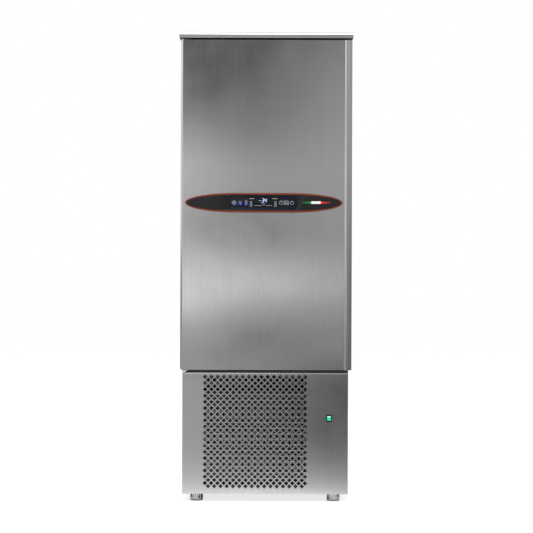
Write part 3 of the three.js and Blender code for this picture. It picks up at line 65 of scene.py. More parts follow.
def grid(points, wrap_u=False, wrap_v=False, caps=False):
    """Faces over a grid of points (u, v, 3): point (i, j) joins (i+1, j), (i+1, j+1) and (i, j+1). Wrapping
    joins the last row or column to the first, and caps close the first and last rows, each with one flat
    face."""
    rows, columns = points.shape[:2]
    index = np.arange(rows * columns).reshape(rows, columns)
    ends = [index[0, ::-1].tolist(), index[-1].tolist()] if caps else []
    if wrap_u:
        index = np.vstack([index, index[:1]])
    if wrap_v:
        index = np.hstack([index, index[:, :1]])
    quads = np.stack([index[:-1, :-1], index[1:, :-1], index[1:, 1:], index[:-1, 1:]], -1)
    return points.reshape(-1, 3), quads.reshape(-1, 4).tolist() + ends


def together(forms):
    """Several forms as one: their points in a row, each form's faces shifted past the points before it."""
    points, faces, start = [], [], 0
    for form_points, form_faces in forms:
        points.append(form_points)
        faces += [[start + i for i in face] for face in form_faces]
        start += len(form_points)
    return np.concatenate(points), faces


def moved(form, x=0.0, y=0.0, z=0.0):
    """A form shifted: each point plus (x, y, z)."""
    return form[0] + np.array([x, y, z]), form[1]


def spun(form, degrees, axis="y", centre=(0, 0, 0)):
    """A form turned about an axis through a centre: p' = c + R (p - c)."""
    a = np.radians(degrees)
    i, j = {"x": (1, 2), "y": (2, 0), "z": (0, 1)}[axis]
    turn = np.eye(3)
    turn[[i, j], [i, j]] = np.cos(a)
    turn[i, j], turn[j, i] = -np.sin(a), np.sin(a)
    return (form[0] - centre) @ turn.T + centre, form[1]


def repeated(form, places):
    """Copies of a form, one at each place (x, y, z): every point plus every place, as one array."""
    points, faces = form
    places = np.asarray(places, float)
    shifted = (points[None] + places[:, None]).reshape(-1, 3)
    steps = range(0, len(places) * len(points), len(points))
    return shifted, [[step + i for i in face] for step in steps for face in faces]


def arc(centre, radius, start, end, steps):
    """Points on a circle from one angle to another, in degrees: centre + radius (cos a, sin a)."""
    a = np.radians(np.linspace(start, end, steps + 1))
    return np.array(centre) + radius * np.stack([np.cos(a), np.sin(a)], -1)


def curve(a, b, c, steps):
    """A quadratic curve from a to c that leaves and arrives along b: (1-t)^2 a + 2 t (1-t) b + t^2 c."""
    t = np.linspace(0, 1, steps + 1)[:, None]
    return (1 - t) ** 2 * np.array(a) + 2 * t * (1 - t) * np.array(b) + t**2 * np.array(c)


def chain(*runs):
    """Runs of points and single points, one after another, as one array."""
    return np.concatenate([np.atleast_2d(np.asarray(run, float)) for run in runs])


def rectangle_loop(x0, x1, z0, z1, radius, steps=8):
    """A rectangle with rounded corners. At an inset t every side moves in by t, and the corners keep their
    centres, so that their radius is radius - t."""
    quarters = [np.linspace(start, start + 90, steps + 1) for start in (0, 90, 180, 270)]
    angles = np.radians(np.concatenate(quarters))
    right = np.repeat([1, -1, -1, 1], steps + 1)
    up = np.repeat([1, 1, -1, -1], steps + 1)

    def loop(inset):
        r = np.maximum(radius - inset, SHARP)
        x = (x0 + x1) / 2 + right * ((x1 - x0) / 2 - inset - r) + r * np.cos(angles)
        z = (z0 + z1) / 2 + up * ((z1 - z0) / 2 - inset - r) + r * np.sin(angles)
        return np.stack([x, z], -1)

    return loop


def lozenge_loop(x, z, straight, end, height, steps=48):
    """Straight top and bottom with half-ellipse ends. An inset t shortens both half axes by t."""
    ends = [np.linspace(-90, 90, steps + 1), np.linspace(90, 270, steps + 1)]
    angles = np.radians(np.concatenate(ends))
    side = np.repeat([1, -1], steps + 1)

    def loop(inset):
        across = x + side * straight / 2 + (end - inset) * np.cos(angles)
        return np.stack([across, z + (height / 2 - inset) * np.sin(angles)], -1)

    return loop


def circle_loop(x, z, radius, sides):
    """A circle; an inset t makes its radius radius - t."""
    angles = np.linspace(0, 2 * np.pi, sides, endpoint=False)

    def loop(inset):
        r = radius - inset
        return np.stack([x + r * np.cos(angles), z + r * np.sin(angles)], -1)

    return loop


# How a point's three numbers become x, y and z: (across, depth, up) with the depth along an axis, and
# (across, up, along) for what goes about an axis or along it.
ORDERS = {"y": [0, 1, 2], "z": [0, 2, 1], "x": [1, 0, 2]}
AXES = {"z": [0, 1, 2], "y": [0, 2, 1], "x": [2, 0, 1]}


def carried(loop, profile, facing="y", **closing):
    """A profile of (inset, depth) carried round a loop: row i is the loop at inset i, at depth i along
    `facing`."""
    profile = np.asarray(profile, float)
    ring = loop(profile[:, :1])
    depth = np.broadcast_to(profile[:, 1:2], ring.shape[:2])
    points = np.stack([ring[..., 0], depth, ring[..., 1]], -1)
    return grid(points[..., ORDERS[facing]], wrap_v=True, **closing)


def lofted(rows, facing="y", **closing):
    """Loops with equally many points, one row each: (loop, inset, depth along `facing`), joined in turn."""
    flat = [(loop(np.array([[inset]]))[0], depth) for loop, inset, depth in rows]
    rings = [np.insert(points, 1, depth, axis=1) for points, depth in flat]
    return grid(np.array(rings)[..., ORDERS[facing]], wrap_v=True, **closing)


def rows_of(loop, profile):
    """A profile's (inset, depth) points as rows on one loop."""
    return [(loop, inset, depth) for inset, depth in np.atleast_2d(profile)]


def slab(low, high, corner, edge, facing="y", steps=4):
    """A block with rounded corners seen along `facing`, and its two faces' edges rounded by `edge`."""
    order = ORDERS[facing]
    (x0, y0, z0), (x1, y1, z1) = np.array(low)[order], np.array(high)[order]
    loop = rectangle_loop(x0, x1, z0, z1, corner, steps)
    near = arc((edge, y0 + edge), edge, 270, 180, 3)
    far = arc((edge, y1 - edge), edge, 180, 90, 3)
    return carried(loop, chain(near, far), facing, caps=True)


def turned(profile, x=0.0, y=0.0, z=0.0, axis="z", sides=32, **closing):
    """A profile of (radius, height) turned about an axis: (r cos a, r sin a, h). Flat caps close its ends."""
    profile = np.asarray(profile, float)
    a = np.linspace(0, 2 * np.pi, sides, endpoint=False)
    radius = profile[:, :1]
    height = np.broadcast_to(profile[:, 1:2], (len(profile), sides))
    p = np.stack([radius * np.cos(a), radius * np.sin(a), height], -1)
    p = p[..., AXES[axis]]
    closing = closing or {"caps": True}
    return grid(p + np.array([x, y, z]), wrap_v=True, **closing)


def pushed(profile, start, end, axis="z"):
    """A closed flat profile pushed along an axis between two places, with a cap at each."""
    profile = np.asarray(profile, float)
    depth = np.repeat([[start], [end]], len(profile), 1)
    p = np.dstack([profile[:, 0] + 0 * depth, profile[:, 1] + 0 * depth, depth])
    return grid(p[..., AXES[axis]], wrap_v=True, caps=True)


def bent(corners, radius, steps):
    """Points along a run of straight stretches whose corners are rounded by quadratic curves."""
    corners = np.asarray(corners, float)
    run = [corners[0]]
    for before, corner, after in zip(corners[:-2], corners[1:-1], corners[2:]):
        start = corner + (before - corner) / np.linalg.norm(before - corner) * radius
        end = corner + (after - corner) / np.linalg.norm(after - corner) * radius
        run.append(curve(start, corner, end, steps))
    return chain(*run, corners[-1])


def tube(path, radius, sides):
    """A round rod along a path: p + radius (n cos a + b sin a), where n and b turn with the path and don't
    twist. The frame is carried from point to point by the smallest turn between two tangents. The radius is
    one number, or one for each point."""
    path = np.asarray(path, float)
    tangents = np.gradient(path, axis=0)
    tangents /= np.linalg.norm(tangents, axis=1, keepdims=True)
    normal = np.cross(tangents[0], [0.3, 0.5, 0.8])
    normals = []
    for tangent in tangents:
        normal = normal - tangent * (normal @ tangent)
        normal = normal / np.linalg.norm(normal)
        normals.append(normal)
    normals = np.array(normals)
    across = np.cross(tangents, normals)
    a = np.linspace(0, 2 * np.pi, sides, endpoint=False)[None, :, None]
    radius = np.broadcast_to(radius, len(path))[:, None, None]
    points = path[:, None] + radius * (normals[:, None] * np.cos(a) + across[:, None] * np.sin(a))
    return grid(points, wrap_v=True, caps=True)


def ring(radius, thick, x, y, z):
    """A round wire bent to a circle about Y: (R + r cos b) round the axis, r sin b along it."""
    b = np.radians(np.linspace(0, 360, 8, endpoint=False))
    profile = np.stack([radius + thick * np.cos(b), thick * np.sin(b)], -1)
    return turned(profile, x, y, z, "y", 64, wrap_u=True)


def zigzag(start, end, step, crest, root):
    """A threaded or ribbed edge as (radius, height): `crest` and `root` in turn, a step apart."""
    heights = np.arange(start, end, step)
    return np.stack([np.where(np.arange(len(heights)) % 2, root, crest), heights], -1)


# ---------------------------------------------------------------- finishes

def node_of(tree, kind, inputs=(), **settings):
    """One node, its settings and its inputs, each a socket to link or a plain value."""
    node = tree.nodes.new("ShaderNode" + kind)
    for key, value in settings.items():
        setattr(node, key, value)
    for key, value in dict(inputs).items():
        if isinstance(value, bpy.types.NodeSocket):
            tree.links.new(value, node.inputs[key])
        else:
            node.inputs[key].default_value = value
    return node


class Finish:
    """A material of nodes, with a short call for each kind of node it needs."""

    def __init__(self, name, **constants):
        """A new material; each constant sets one of its shader's sockets."""
        self.material = bpy.data.materials.new(name)
        self.material.use_nodes = True
        self.tree = self.material.node_tree
        self.shader = self.tree.nodes["Principled BSDF"]
        self.place = self.tree.nodes.new("ShaderNodeTexCoord").outputs["Object"]
        for socket, value in constants.items():
            self.shader.inputs[socket.replace("_", " ")].default_value = value

    def add(self, kind, inputs, **settings):
        """One more node of this material."""
        return node_of(self.tree, kind, inputs, **settings)

    def noise(self, scale, stretch=(1, 1, 1), detail=3.0, rough=0.55):
        """Noise over the piece: `scale` waves to the metre, more along an axis whose stretch is above one."""
        spread = self.add("Mapping", {"Vector": self.place, "Scale": stretch})
        inputs = {"Vector": spread.outputs[0], "Scale": scale, "Detail": detail, "Roughness": rough}
        return self.add("TexNoise", inputs).outputs["Fac"]

    def cells(self, scale, feature="F1", output="Distance"):
        """Cells over the piece, `scale` to the metre: by default the distance to each cell's middle."""
        return self.add("TexVoronoi", {"Vector": self.place, "Scale": scale}, feature=feature).outputs[output]

    def between(self, value, low, high, start=0.3, end=0.7):
        """A value spread from `start`..`end` to low..high."""
        inputs = {"Value": value, "From Min": start, "From Max": end, "To Min": low, "To Max": high}
        return self.add("MapRange", inputs).outputs[0]

    def mixed(self, share, one, two):
        """Two colours blended: (1 - share) one + share two."""
        return self.add("Mix", {0: share, 6: one, 7: two}, data_type="RGBA").outputs[2]

    def set(self, socket, value):
        """Links a value to one of the shader's sockets."""
        self.tree.links.new(value, self.shader.inputs[socket])
        return self

    def bump(self, height, strength, distance):
        """Another layer of relief over the ones before it."""
        inputs = {"Height": height, "Strength": strength, "Distance": distance}
        if self.shader.inputs["Normal"].is_linked:
            inputs["Normal"] = self.shader.inputs["Normal"].links[0].from_socket
        return self.set("Normal", self.add("Bump", inputs).outputs[0])


def grey(level, warm=0.0):
    """A grey of this level; `warm` adds that share to its red and takes it from its blue."""
    return (level * (1 + warm), level, level * (1 - warm), 1.0)


def brushed(name, stretch, level=0.7, rough=(0.17, 0.23)):
    """Stainless sheet: a satin grain along the axis that `stretch` makes long, and faint handling marks."""
    f = Finish(name, Metallic=1.0)
    grain = f.noise(900, stretch, 4, 0.6)
    streak = f.noise(130, stretch, 2, 0.5)
    smear = f.noise(5, detail=4)
    f.set("Base Color", f.mixed(f.between(streak, 0, 1), grey(level * 0.985), grey(level * 1.015, 0.003)))
    shares = {0: f.between(grain, *rough), 1: f.between(smear, -0.03, 0.04)}
    f.set("Roughness", f.add("Math", shares, operation="ADD").outputs[0])
    return f.bump(grain, 0.1, 0.00004).material


def polished(name, colour, rough):
    """Bright metal with hair scratches, dull where it is handled. It darkens towards its outline."""
    f = Finish(name, Metallic=1.0, Specular_Tint=(0.12, 0.12, 0.12, 1))
    dulled = tuple(0.94 * c for c in colour[:3]) + (1,)
    f.set("Base Color", f.mixed(f.noise(60), dulled, colour))
    f.set("Roughness", f.between(f.noise(90, detail=5), rough, rough + 0.12))
    return f.bump(f.noise(2200, (1, 1, 0.1)), 0.08, 0.00004).material


def galvanised():
    """Zinc spangle: flat crystal patches, each a little lighter or darker, under a thin white bloom."""
    f = Finish("galvanised_sheet", Metallic=0.9)
    spangle = f.add("RGBToBW", {0: f.cells(95, output="Color")}).outputs[0]
    bloom = f.noise(7, detail=6)
    crystal = f.mixed(f.between(spangle, 0, 1, 0.2, 0.8), (0.40, 0.42, 0.435, 1), (0.56, 0.58, 0.59, 1))
    f.set("Base Color", f.mixed(f.between(bloom, 0, 0.35, 0.5, 0.8), crystal, (0.62, 0.63, 0.63, 1)))
    f.set("Roughness", f.between(spangle, 0.34, 0.5, 0.2, 0.8))
    return f.bump(f.noise(300), 0.1, 0.0001).material


def copper():
    """Drawn pipe, bright in patches and browned by heat and air elsewhere."""
    f = Finish("copper_pipe", Metallic=1.0)
    brown = f.noise(22, detail=6)
    bright, browned = (0.76, 0.36, 0.22, 1), (0.42, 0.19, 0.12, 1)
    f.set("Base Color", f.mixed(f.between(brown, 0, 1, 0.35, 0.7), bright, browned))
    f.set("Roughness", f.between(brown, 0.24, 0.5))
    return f.bump(f.noise(700), 0.08, 0.0001).material


def moulded(name, colour, rough, texture=1500, depth=0.00006, cover=None, **constants):
    """Plastic, paint or rubber: a fine even texture, with the shine and the tone drifting a little. A cover
    lies on the faces that look up, in patches."""
    f = Finish(name, **constants)
    drift = f.noise(14, detail=5)
    lighter = tuple(min(1.0, c * 1.18 + 0.002) for c in colour[:3]) + (1,)
    shade = f.mixed(f.between(drift, 0, 1), colour, lighter)
    if cover:
        up = f.add("SeparateXYZ", {0: f.add("NewGeometry", {}).outputs["Normal"]}).outputs[2]
        shares = {0: f.between(up, 0, 0.5, 0.5, 1), 1: f.between(f.noise(40), 0.3, 1)}
        shade = f.mixed(f.add("Math", shares, operation="MULTIPLY").outputs[0], shade, cover)
    f.set("Base Color", shade)
    f.set("Roughness", f.between(f.noise(35, detail=4), rough, rough + 0.12))
    return f.bump(f.noise(texture, detail=2), 0.3, depth).material


def foam():
    """Rigid foam: a yellow that drifts, with pits of about 2 mm, each deepest at its middle."""
    f = Finish("insulating_foam")
    pores = f.cells(420)
    drift = f.between(f.noise(18, detail=5), 0, 1)
    f.set("Base Color", f.mixed(drift, (0.70, 0.60, 0.33, 1), (0.80, 0.72, 0.46, 1)))
    f.set("Roughness", f.between(pores, 0.8, 0.95, 0, 1))
    return f.bump(pores, 0.5, 0.0008).material


def lit(name, colour, strength):
    """A printed field that glows from behind, a little unevenly."""
    f = Finish(name, Roughness=0.3, Emission_Strength=strength)
    spread = f.between(f.noise(500, detail=2), 0, 1)
    glow = f.mixed(spread, tuple(0.85 * c for c in colour[:3]) + (1,), colour)
    return f.set("Base Color", glow).set("Emission Color", glow).material


def circuit():
    """Green lacquer over copper tracks, which show as a lighter network."""
    f = Finish("circuit_lacquer")
    tracks = f.between(f.cells(160, "DISTANCE_TO_EDGE"), 1, 0, 0.05, 0.12)
    f.set("Base Color", f.mixed(tracks, (0.01, 0.085, 0.03, 1), (0.04, 0.2, 0.07, 1)))
    f.set("Roughness", f.between(f.noise(60), 0.3, 0.45))
    return f.bump(tracks, 0.3, 0.0001).material


UPRIGHT, ACROSS, BACKWARD = (1, 1, 0.008), (0.008, 1, 1), (1, 0.008, 1)
DOOR_STEEL = brushed("door_steel", UPRIGHT)
SIDE_STEEL = brushed("side_steel", UPRIGHT)
PANEL_STEEL = brushed("panel_steel", UPRIGHT)
TOP_STEEL = brushed("top_steel", ACROSS, 0.7, (0.09, 0.13))
LINER_STEEL = brushed("liner_steel", UPRIGHT, 0.62, (0.2, 0.3))
RACK_STEEL = brushed("rack_steel", BACKWARD, 0.62, (0.18, 0.28))
BRIGHT_STEEL = polished("bright_steel", grey(0.74), 0.08)
SCREW_STEEL = polished("screw_steel", grey(0.6), 0.18)
GALVANISED = galvanised()
FIN_ALUMINIUM = polished("fin_aluminium", (0.66, 0.67, 0.68, 1), 0.3)
COPPER = copper()
DUST = (0.2, 0.19, 0.18, 1)
BLACK_ENAMEL = moulded("black_enamel", (0.014, 0.014, 0.015, 1), 0.28, 240, 0.00015, cover=DUST)
BLACK_PLASTIC = moulded("black_plastic", (0.012, 0.012, 0.012, 1), 0.34)
GREY_PLASTIC = moulded("grey_plastic", (0.035, 0.036, 0.038, 1), 0.45)
SEAL_RUBBER = moulded("seal_rubber", (0.045, 0.046, 0.048, 1), 0.6, 700, 0.0001)
FILM_BLACK, GLASS_BLACK, RUST = (0.01, 0.01, 0.0105, 1), (0.004, 0.0055, 0.01, 1), (0.25, 0.034, 0.01, 1)
CHARCOAL_FILM = moulded("charcoal_film", FILM_BLACK, 0.36, 2400, 0.00002, Specular_IOR_Level=0.33)
RUST_RED = moulded("rust_red", RUST, 0.4, 900, 0.00002, Specular_IOR_Level=0.2)
DARK_GLASS = moulded("dark_glass", GLASS_BLACK, 0.06, 60, 0.00001, Specular_IOR_Level=0.3)
GREY_PAINT = moulded("grey_paint", (0.25, 0.27, 0.29, 1), 0.4, 500, 0.0001, cover=DUST)
NYLON = moulded("natural_nylon", (0.78, 0.77, 0.73, 1), 0.35, 800, 0.00003)
BRASS = polished("brass", (0.66, 0.47, 0.22, 1), 0.22)
FOOT_STEEL = polished("foot_steel", grey(0.48), 0.05)
CHROME = polished("chrome", grey(0.92), 0.02)
FOOT_PAD = moulded("foot_pad", (0.26, 0.26, 0.265, 1), 0.5, 700, 0.00005)
FOAM = foam()
CIRCUIT = circuit()
LIT_GREEN = lit("lit_green", (0.01, 0.62, 0.36, 1), 0.35)
# painted reflection: a pale cyan that glows, laid on the rocker key as a band of mirrored light
PAINTED_REFLECTION_CYAN = lit("painted_reflection_cyan", (0.5, 1.0, 0.98, 1), 0.7)
LIT_BLUE = lit("lit_blue", (0.02, 0.06, 0.8, 1), 0.6)
LIT_WHITE = lit("lit_white", (0.55, 0.68, 1.0, 1), 0.7)
PRINT_GREY = moulded("print_grey", (0.3, 0.32, 0.35, 1), 0.4)
PRINT_YELLOW = moulded("print_yellow", (0.3, 0.3, 0.17, 1), 0.4)
STRIPE_GREEN = moulded("stripe_green", (0.01, 0.2, 0.045, 1), 0.35)
STRIPE_WHITE = moulded("stripe_white", (0.82, 0.82, 0.82, 1), 0.35)
STRIPE_RED = moulded("stripe_red", (0.62, 0.012, 0.015, 1), 0.35)


# ---------------------------------------------------------------- making pieces

def outward(mesh, merge=1e-6):
    """Doubles merged, then every face turned to point out of its closed shell."""
    work = bmesh.new()
    work.from_mesh(mesh)
    bmesh.ops.remove_doubles(work, verts=work.verts, dist=merge)
    bmesh.ops.recalc_face_normals(work, faces=work.faces)
    return work


def settle(work, mesh, smooth):
    """The worked faces back in their mesh, smooth except where two meet at more than `smooth` degrees."""
    work.to_mesh(mesh)
    work.free()
    mesh.polygons.foreach_set("use_smooth", [True] * len(mesh.polygons))
    mesh.set_sharp_from_angle(angle=np.radians(smooth))
    mesh.update()


def shell(name, form, smooth=34):
    """A mesh from a form, closed and facing outwards."""
    mesh = bpy.data.meshes.new(name)
    mesh.from_pydata(form[0].tolist(), [], form[1])
    settle(outward(mesh), mesh, smooth)
    return mesh


def finished(name, mesh, material, body, stands_for, bevel):
    """An object from a mesh: its material, its eased edges, what it rides on and what it stands for."""
    mesh.materials.clear()
    mesh.materials.append(material)
    made = bpy.data.objects.new(name, mesh)
    bpy.context.scene.collection.objects.link(made)
    if bevel:
        edge = made.modifiers.new("eased_edges", "BEVEL")
        edge.width, edge.segments, edge.limit_method = bevel, 2, "ANGLE"
        edge.angle_limit = np.radians(40)
        edge.use_clamp_overlap = True
        edge.harden_normals = True
    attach(made, body)
    if stands_for:
        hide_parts(*stands_for)
    return made


def piece(name, form, material, body, stands_for=(), smooth=34, bevel=0.0):
    """One new piece from a form, riding on a body."""
    return finished(name, shell(name, form, smooth), material, body, stands_for, bevel)


def eased(node, name, material, bevel=0.4 * MM):
    """A copy of one of the cabinet's solids, its triangles merged to whole faces and its edges eased."""
    mesh, solid = bpy.data.meshes.new(name), nodes[node].data
    mesh.from_pydata([v.co[:] for v in solid.vertices], [], [p.vertices[:] for p in solid.polygons])
    work = outward(mesh, 1e-5)
    bmesh.ops.dissolve_limit(work, angle_limit=np.radians(1), verts=work.verts, edges=work.edges)
    settle(work, mesh, 34)
    return finished(name, mesh, material, "cabinet", (node,), bevel)


def dress(material, *names):
    """A better material for solids whose shape is right."""
    for name in names:
        for holder in nodes[name].material_slots:
            holder.material = material


def corners_of(node):
    """The lowest and the highest corner of a solid's box."""
    low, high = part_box(node)
    return np.array(low), np.array(high)


# ---------------------------------------------------------------- door

HINGE = sum(corners_of("hinge_pin_bottom")) / 2
SHEET = 1.2 * MM
DOOR_EDGE = 10 * MM  # the rounding of the door's left edge
DOOR_DROP = 1 * MM  # the door's top lies this far under its solid's, clear of the cover


def eased_by(radius, depth):
    """How far a rounded edge lies inside its corner at a depth: r - sqrt(r^2 - (r - depth)^2)."""
    return radius - np.sqrt(radius**2 - np.clip(radius - depth, 0, radius) ** 2)


def pan(low, high, corner, left, other, front, back, toward=1):
    """A sheet pan: its flat face at `front` and its sides reaching `back`. The left edge is rounded by `left`
    and the other three by `other`; the same shape moved in by the sheet's thickness makes its inside. A
    narrow flat strip round each face keeps its shading flat."""
    x0, x1, z0, z1 = low[0], high[0], low[2], high[2]
    depths = left * (1 - np.cos(np.radians(np.linspace(0, 90, 9))))

    def section(inset, depth):
        """The pan's outline at a depth, moved in by `inset`."""
        l, o = (inset + eased_by(radius - inset, depth) for radius in (left, other))
        return rectangle_loop(x0 + l, x1 - o, z0 + o, z1 - o, max(corner - inset, SHARP), 6)

    strip = 0.5 * MM
    outside = [(section(0, 0), strip, front)]
    outside += [(section(0, depth), 0, front + toward * depth) for depth in depths]
    inner = depths[depths < left - SHEET]
    inside = [(section(SHEET, depth), 0, front + toward * (SHEET + depth)) for depth in inner[::-1]]
    inside.append((section(SHEET, 0), strip, front + toward * SHEET))
    rims = [(section(0, left), 0, back), (section(SHEET, left), 0, back)]
    return lofted(outside + rims + inside, caps=True)


def door_skin():
    """The outer sheet as a pan, and a bush for each hinge pin: a profile turned about the pin."""
    low, high = corners_of("door_outer_skin")
    high[2] -= DOOR_DROP
    skin = pan(low, high, 5 * MM, DOOR_EDGE, SHARP, low[1], high[1])
    piece("door_skin", skin, DOOR_STEEL, "door", ["door_outer_skin"])
    bush = np.array([(6.3, -1), (6.3, 1.4), (6.8, 1.7), (10.4, 1.7), (11, 1.3), (11, -1)]) * MM
    ends = ((low[2], -1), (high[2], 1))
    bushes = [turned(bush * (1, side), HINGE[0], HINGE[1], z, wrap_u=True) for z, side in ends]
    piece("door_hinge_bushes", together(bushes), NYLON, "door")


def door_handle():
    """The handle's section pushed up the door. From the left it has a narrow step, a facet that rises to the
    crown, a crown that falls away to a rolled nose, and the same run a wall's thickness inside it, back to
    the groove for the fingers. Its bends are quadratic curves."""
    low, high = corners_of("door_handle")
    left, right, front, back = low[0], high[0], -394 * MM, high[1]
    wall, crown, roll = 3.5 * MM, 6 * MM, 22 * MM
    middle, groove = (left + right) / 2, back - 8 * MM
    nose, inner = front + crown, front + 2 * MM + wall

    def at(x, y):
        """A point x mm from the handle's left side and y mm behind its front."""
        return left + x * MM, front + y * MM

    outline = chain(
        at(0, 3.4), at(1.5, 3.4), at(1.8, 3.29),
        curve(at(9.5, 0.4), at(10.4, 0.05), at(11.5, 0.05), 5),
        curve(at(11.5, 0.05), (middle + 4 * MM, front + 1.2 * MM), (right - wall, nose), 16)[1:],
        curve((right - wall, nose), (right, nose + 1 * MM), (right, nose + 2 * wall), 8)[1:],
        arc((right - wall / 2, nose + roll - wall / 2), wall / 2, 0, 180, 8),
        curve((right - wall, nose + 2 * wall), (middle, inner - 1 * MM), (left + 2 * wall, inner), 12),
        curve((left + 2 * wall, inner), (left + wall, inner), (left + wall, inner + wall), 6)[1:],
        curve((left + wall, groove - 2 * wall), (left + wall, groove), (left + 3 * wall, groove), 8),
        curve((right - 3 * wall, groove), (right - wall, groove), (right - wall, groove + wall), 6),
        (right - wall, back),
        (left, back),
    )
    profile = pushed(outline, low[2], high[2] - DOOR_DROP)
    piece("door_handle_profile", profile, DOOR_STEEL, "door", ["door_handle"])


def door_liner():
    """The inner sheet: its raised field rolls down to a flat border through two arcs, and the same arcs moved
    by the sheet's thickness make its other side."""
    low, high = corners_of("door_inner_liner")
    face, raised = -324 * MM, high[1]
    edge = rectangle_loop(low[0], high[0], low[2], high[2], 9 * MM)
    field = rectangle_loop(-300 * MM, 300 * MM, 664 * MM, 2009 * MM, 14 * MM)
    roll, fillet = 4 * MM, 3 * MM
    brow, root = (roll, raised - roll), (-fillet, face + fillet)
    over = chain(arc(brow, roll, 90, 180, 5), arc(root, fillet, 0, -90, 4))
    under = chain(arc(root, fillet + SHEET, -90, 0, 4), arc(brow, roll - SHEET, 180, 90, 5))
    border = [(edge, 0, face), (edge, 0, face - SHEET)]
    sheet = lofted(rows_of(field, over) + border + rows_of(field, under), caps=True)
    piece("door_inner_sheet", sheet, LINER_STEEL, "door", ["door_inner_liner"])


def door_gasket():
    """The seal's folded section, carried round the door."""
    low, high = corners_of("door_gasket")
    outline = [
        (1, 0), (17, 0), (17, 1), (14.6, 2.3), (16.7, 3.6), (15.2, 4.9), (16.9, 5.9), (17.4, 7.6), (17.8, 9),
        (16.4, 9.4), (2, 9.4), (0.6, 8.6), (0.7, 6), (2.6, 4.9), (1.1, 3.6), (3.3, 2.3), (1, 1),
    ]
    band = rectangle_loop(low[0], high[0], low[2], high[2], 1.5 * MM, 3)
    sealing = carried(band, np.array(outline) * MM + (0, low[1]), wrap_u=True)
    piece("door_gasket_bellows", sealing, SEAL_RUBBER, "door", ["door_gasket"], smooth=50)


# ---------------------------------------------------------------- control fascia

FASCIA_X, FASCIA_Z = -9 * MM, 1350 * MM
FASCIA_FACE, GLASS_FACE = -399.85 * MM, -399.7 * MM
FASCIA_EDGE = lozenge_loop(FASCIA_X, FASCIA_Z, 244 * MM, 230 * MM, 87 * MM)
PRINTED = 0.14 * MM  # how far a sign stands off its face


def stroke(x0, z0, x1, z1, width, face, taper=1.0):
    """A flat printed line, in millimetres from the fascia's middle. Its two ends are `width` wide, and
    `width` times `taper`."""
    start, end = np.array([x0, z0], float), np.array([x1, z1], float)
    across = np.array([-(end - start)[1], (end - start)[0]]) / np.linalg.norm(end - start) * width / 2
    corners = chain(start + across, start - across, end - taper * across, end + taper * across)
    return pushed(corners * MM + (FASCIA_X, FASCIA_Z), face, face - PRINTED, "y")


def printed_ring(x, z, radius, width, face):
    """A flat ring between two circles, radius and radius - width."""
    loop = circle_loop(FASCIA_X + x * MM, FASCIA_Z + z * MM, radius * MM, 28)
    deep = face - PRINTED
    return carried(loop, [(0, face), (0, deep), (width * MM, deep), (width * MM, face)], wrap_u=True)


def printed_dot(x, z, radius, face):
    """A flat disc: one circle at the face and the same circle in front of it, both capped."""
    loop = circle_loop(FASCIA_X + x * MM, FASCIA_Z + z * MM, radius * MM, 20)
    return carried(loop, [(0, face), (0, face - PRINTED)], caps=True)


BARS_OF = {"-": "g", "3": "abcdg", "4": "bcfg"}


def seven_segments(text, x, z, tall, face):
    """Slanted figures of up to seven bars, each a short stroke between two of a figure's six corners."""
    half, wide, slant = tall / 2, tall * 0.46, 0.18
    corners_of_bar = {
        "a": (0, half, wide, half), "b": (wide, half, wide, 0), "c": (wide, 0, wide, -half),
        "d": (0, -half, wide, -half), "f": (0, half, 0, 0), "g": (0, 0, wide, 0),
    }
    bars = []
    for place, figure in enumerate(text):
        for bar in BARS_OF[figure]:
            x0, z0, x1, z1 = np.array(corners_of_bar[bar]) + np.array([x + place * wide * 1.5, z] * 2)
            gap = 0.9 * np.sign([x1 - x0, z1 - z0])
            ends = np.array([(x0 + gap[0], z0 + gap[1]), (x1 - gap[0], z1 - gap[1])])
            ends[:, 0] += slant * (ends[:, 1] - z)
            bars.append(stroke(*ends.ravel(), tall * 0.12, face))
    return bars


def icon(kind, x, face):
    """Six plain signs, each about 20 mm across: fan, crystal, thermometer, clock, trays and start. They are
    strokes and rings placed from the sign's middle."""

    def line(x0, z0, x1, z1, width=1.5):
        return stroke(x + x0, z0, x + x1, z1, width, face)

    def lines(*ends):
        return [line(*each) for each in ends]

    def circle(x0, z0, radius):
        return printed_ring(x + x0, z0, radius, 1.5, face)

    if kind == "fan":
        blades = [line(3 * c, 3 * s, 7.2 * c, 7.2 * s, 3) for c, s in ((1, 0), (0, 1), (-1, 0), (0, -1))]
        return [circle(0, 0, 9.5), circle(0, 0, 2.6)] + blades
    if kind == "crystal":
        arms = [(np.sin(a), np.cos(a), r) for a in np.radians([0, 60, 120]) for r in (10, -10)]
        return [line(r * s, r * c, 2 * s, 2 * c) for s, c, r in arms] + [circle(0, 0, 3)]
    if kind == "thermometer":
        stem = lines((-2.4, -3.4, -2.4, 10), (2.4, -3.4, 2.4, 10), (-3.1, 10.5, 3.1, 10.5))
        return [circle(0, -7, 4.4)] + stem + lines((5.5, 6, 9, 6), (5.5, 1, 9, 1))
    if kind == "clock":
        return [circle(0, 0, 9.5)] + lines((0, -0.6, 0, 6.4), (0.8, 0, 4.8, 0))
    if kind == "trays":
        shelves = [line(-9, h, 9, h, 1.7) for h in (-8, -2.7, 2.7, 8)]
        return shelves + lines((-9.8, -9, -9.8, 9), (9.8, -9, 9.8, 9))
    return [circle(0, -1, 8.5), line(0, 1, 0, 10, 2)]


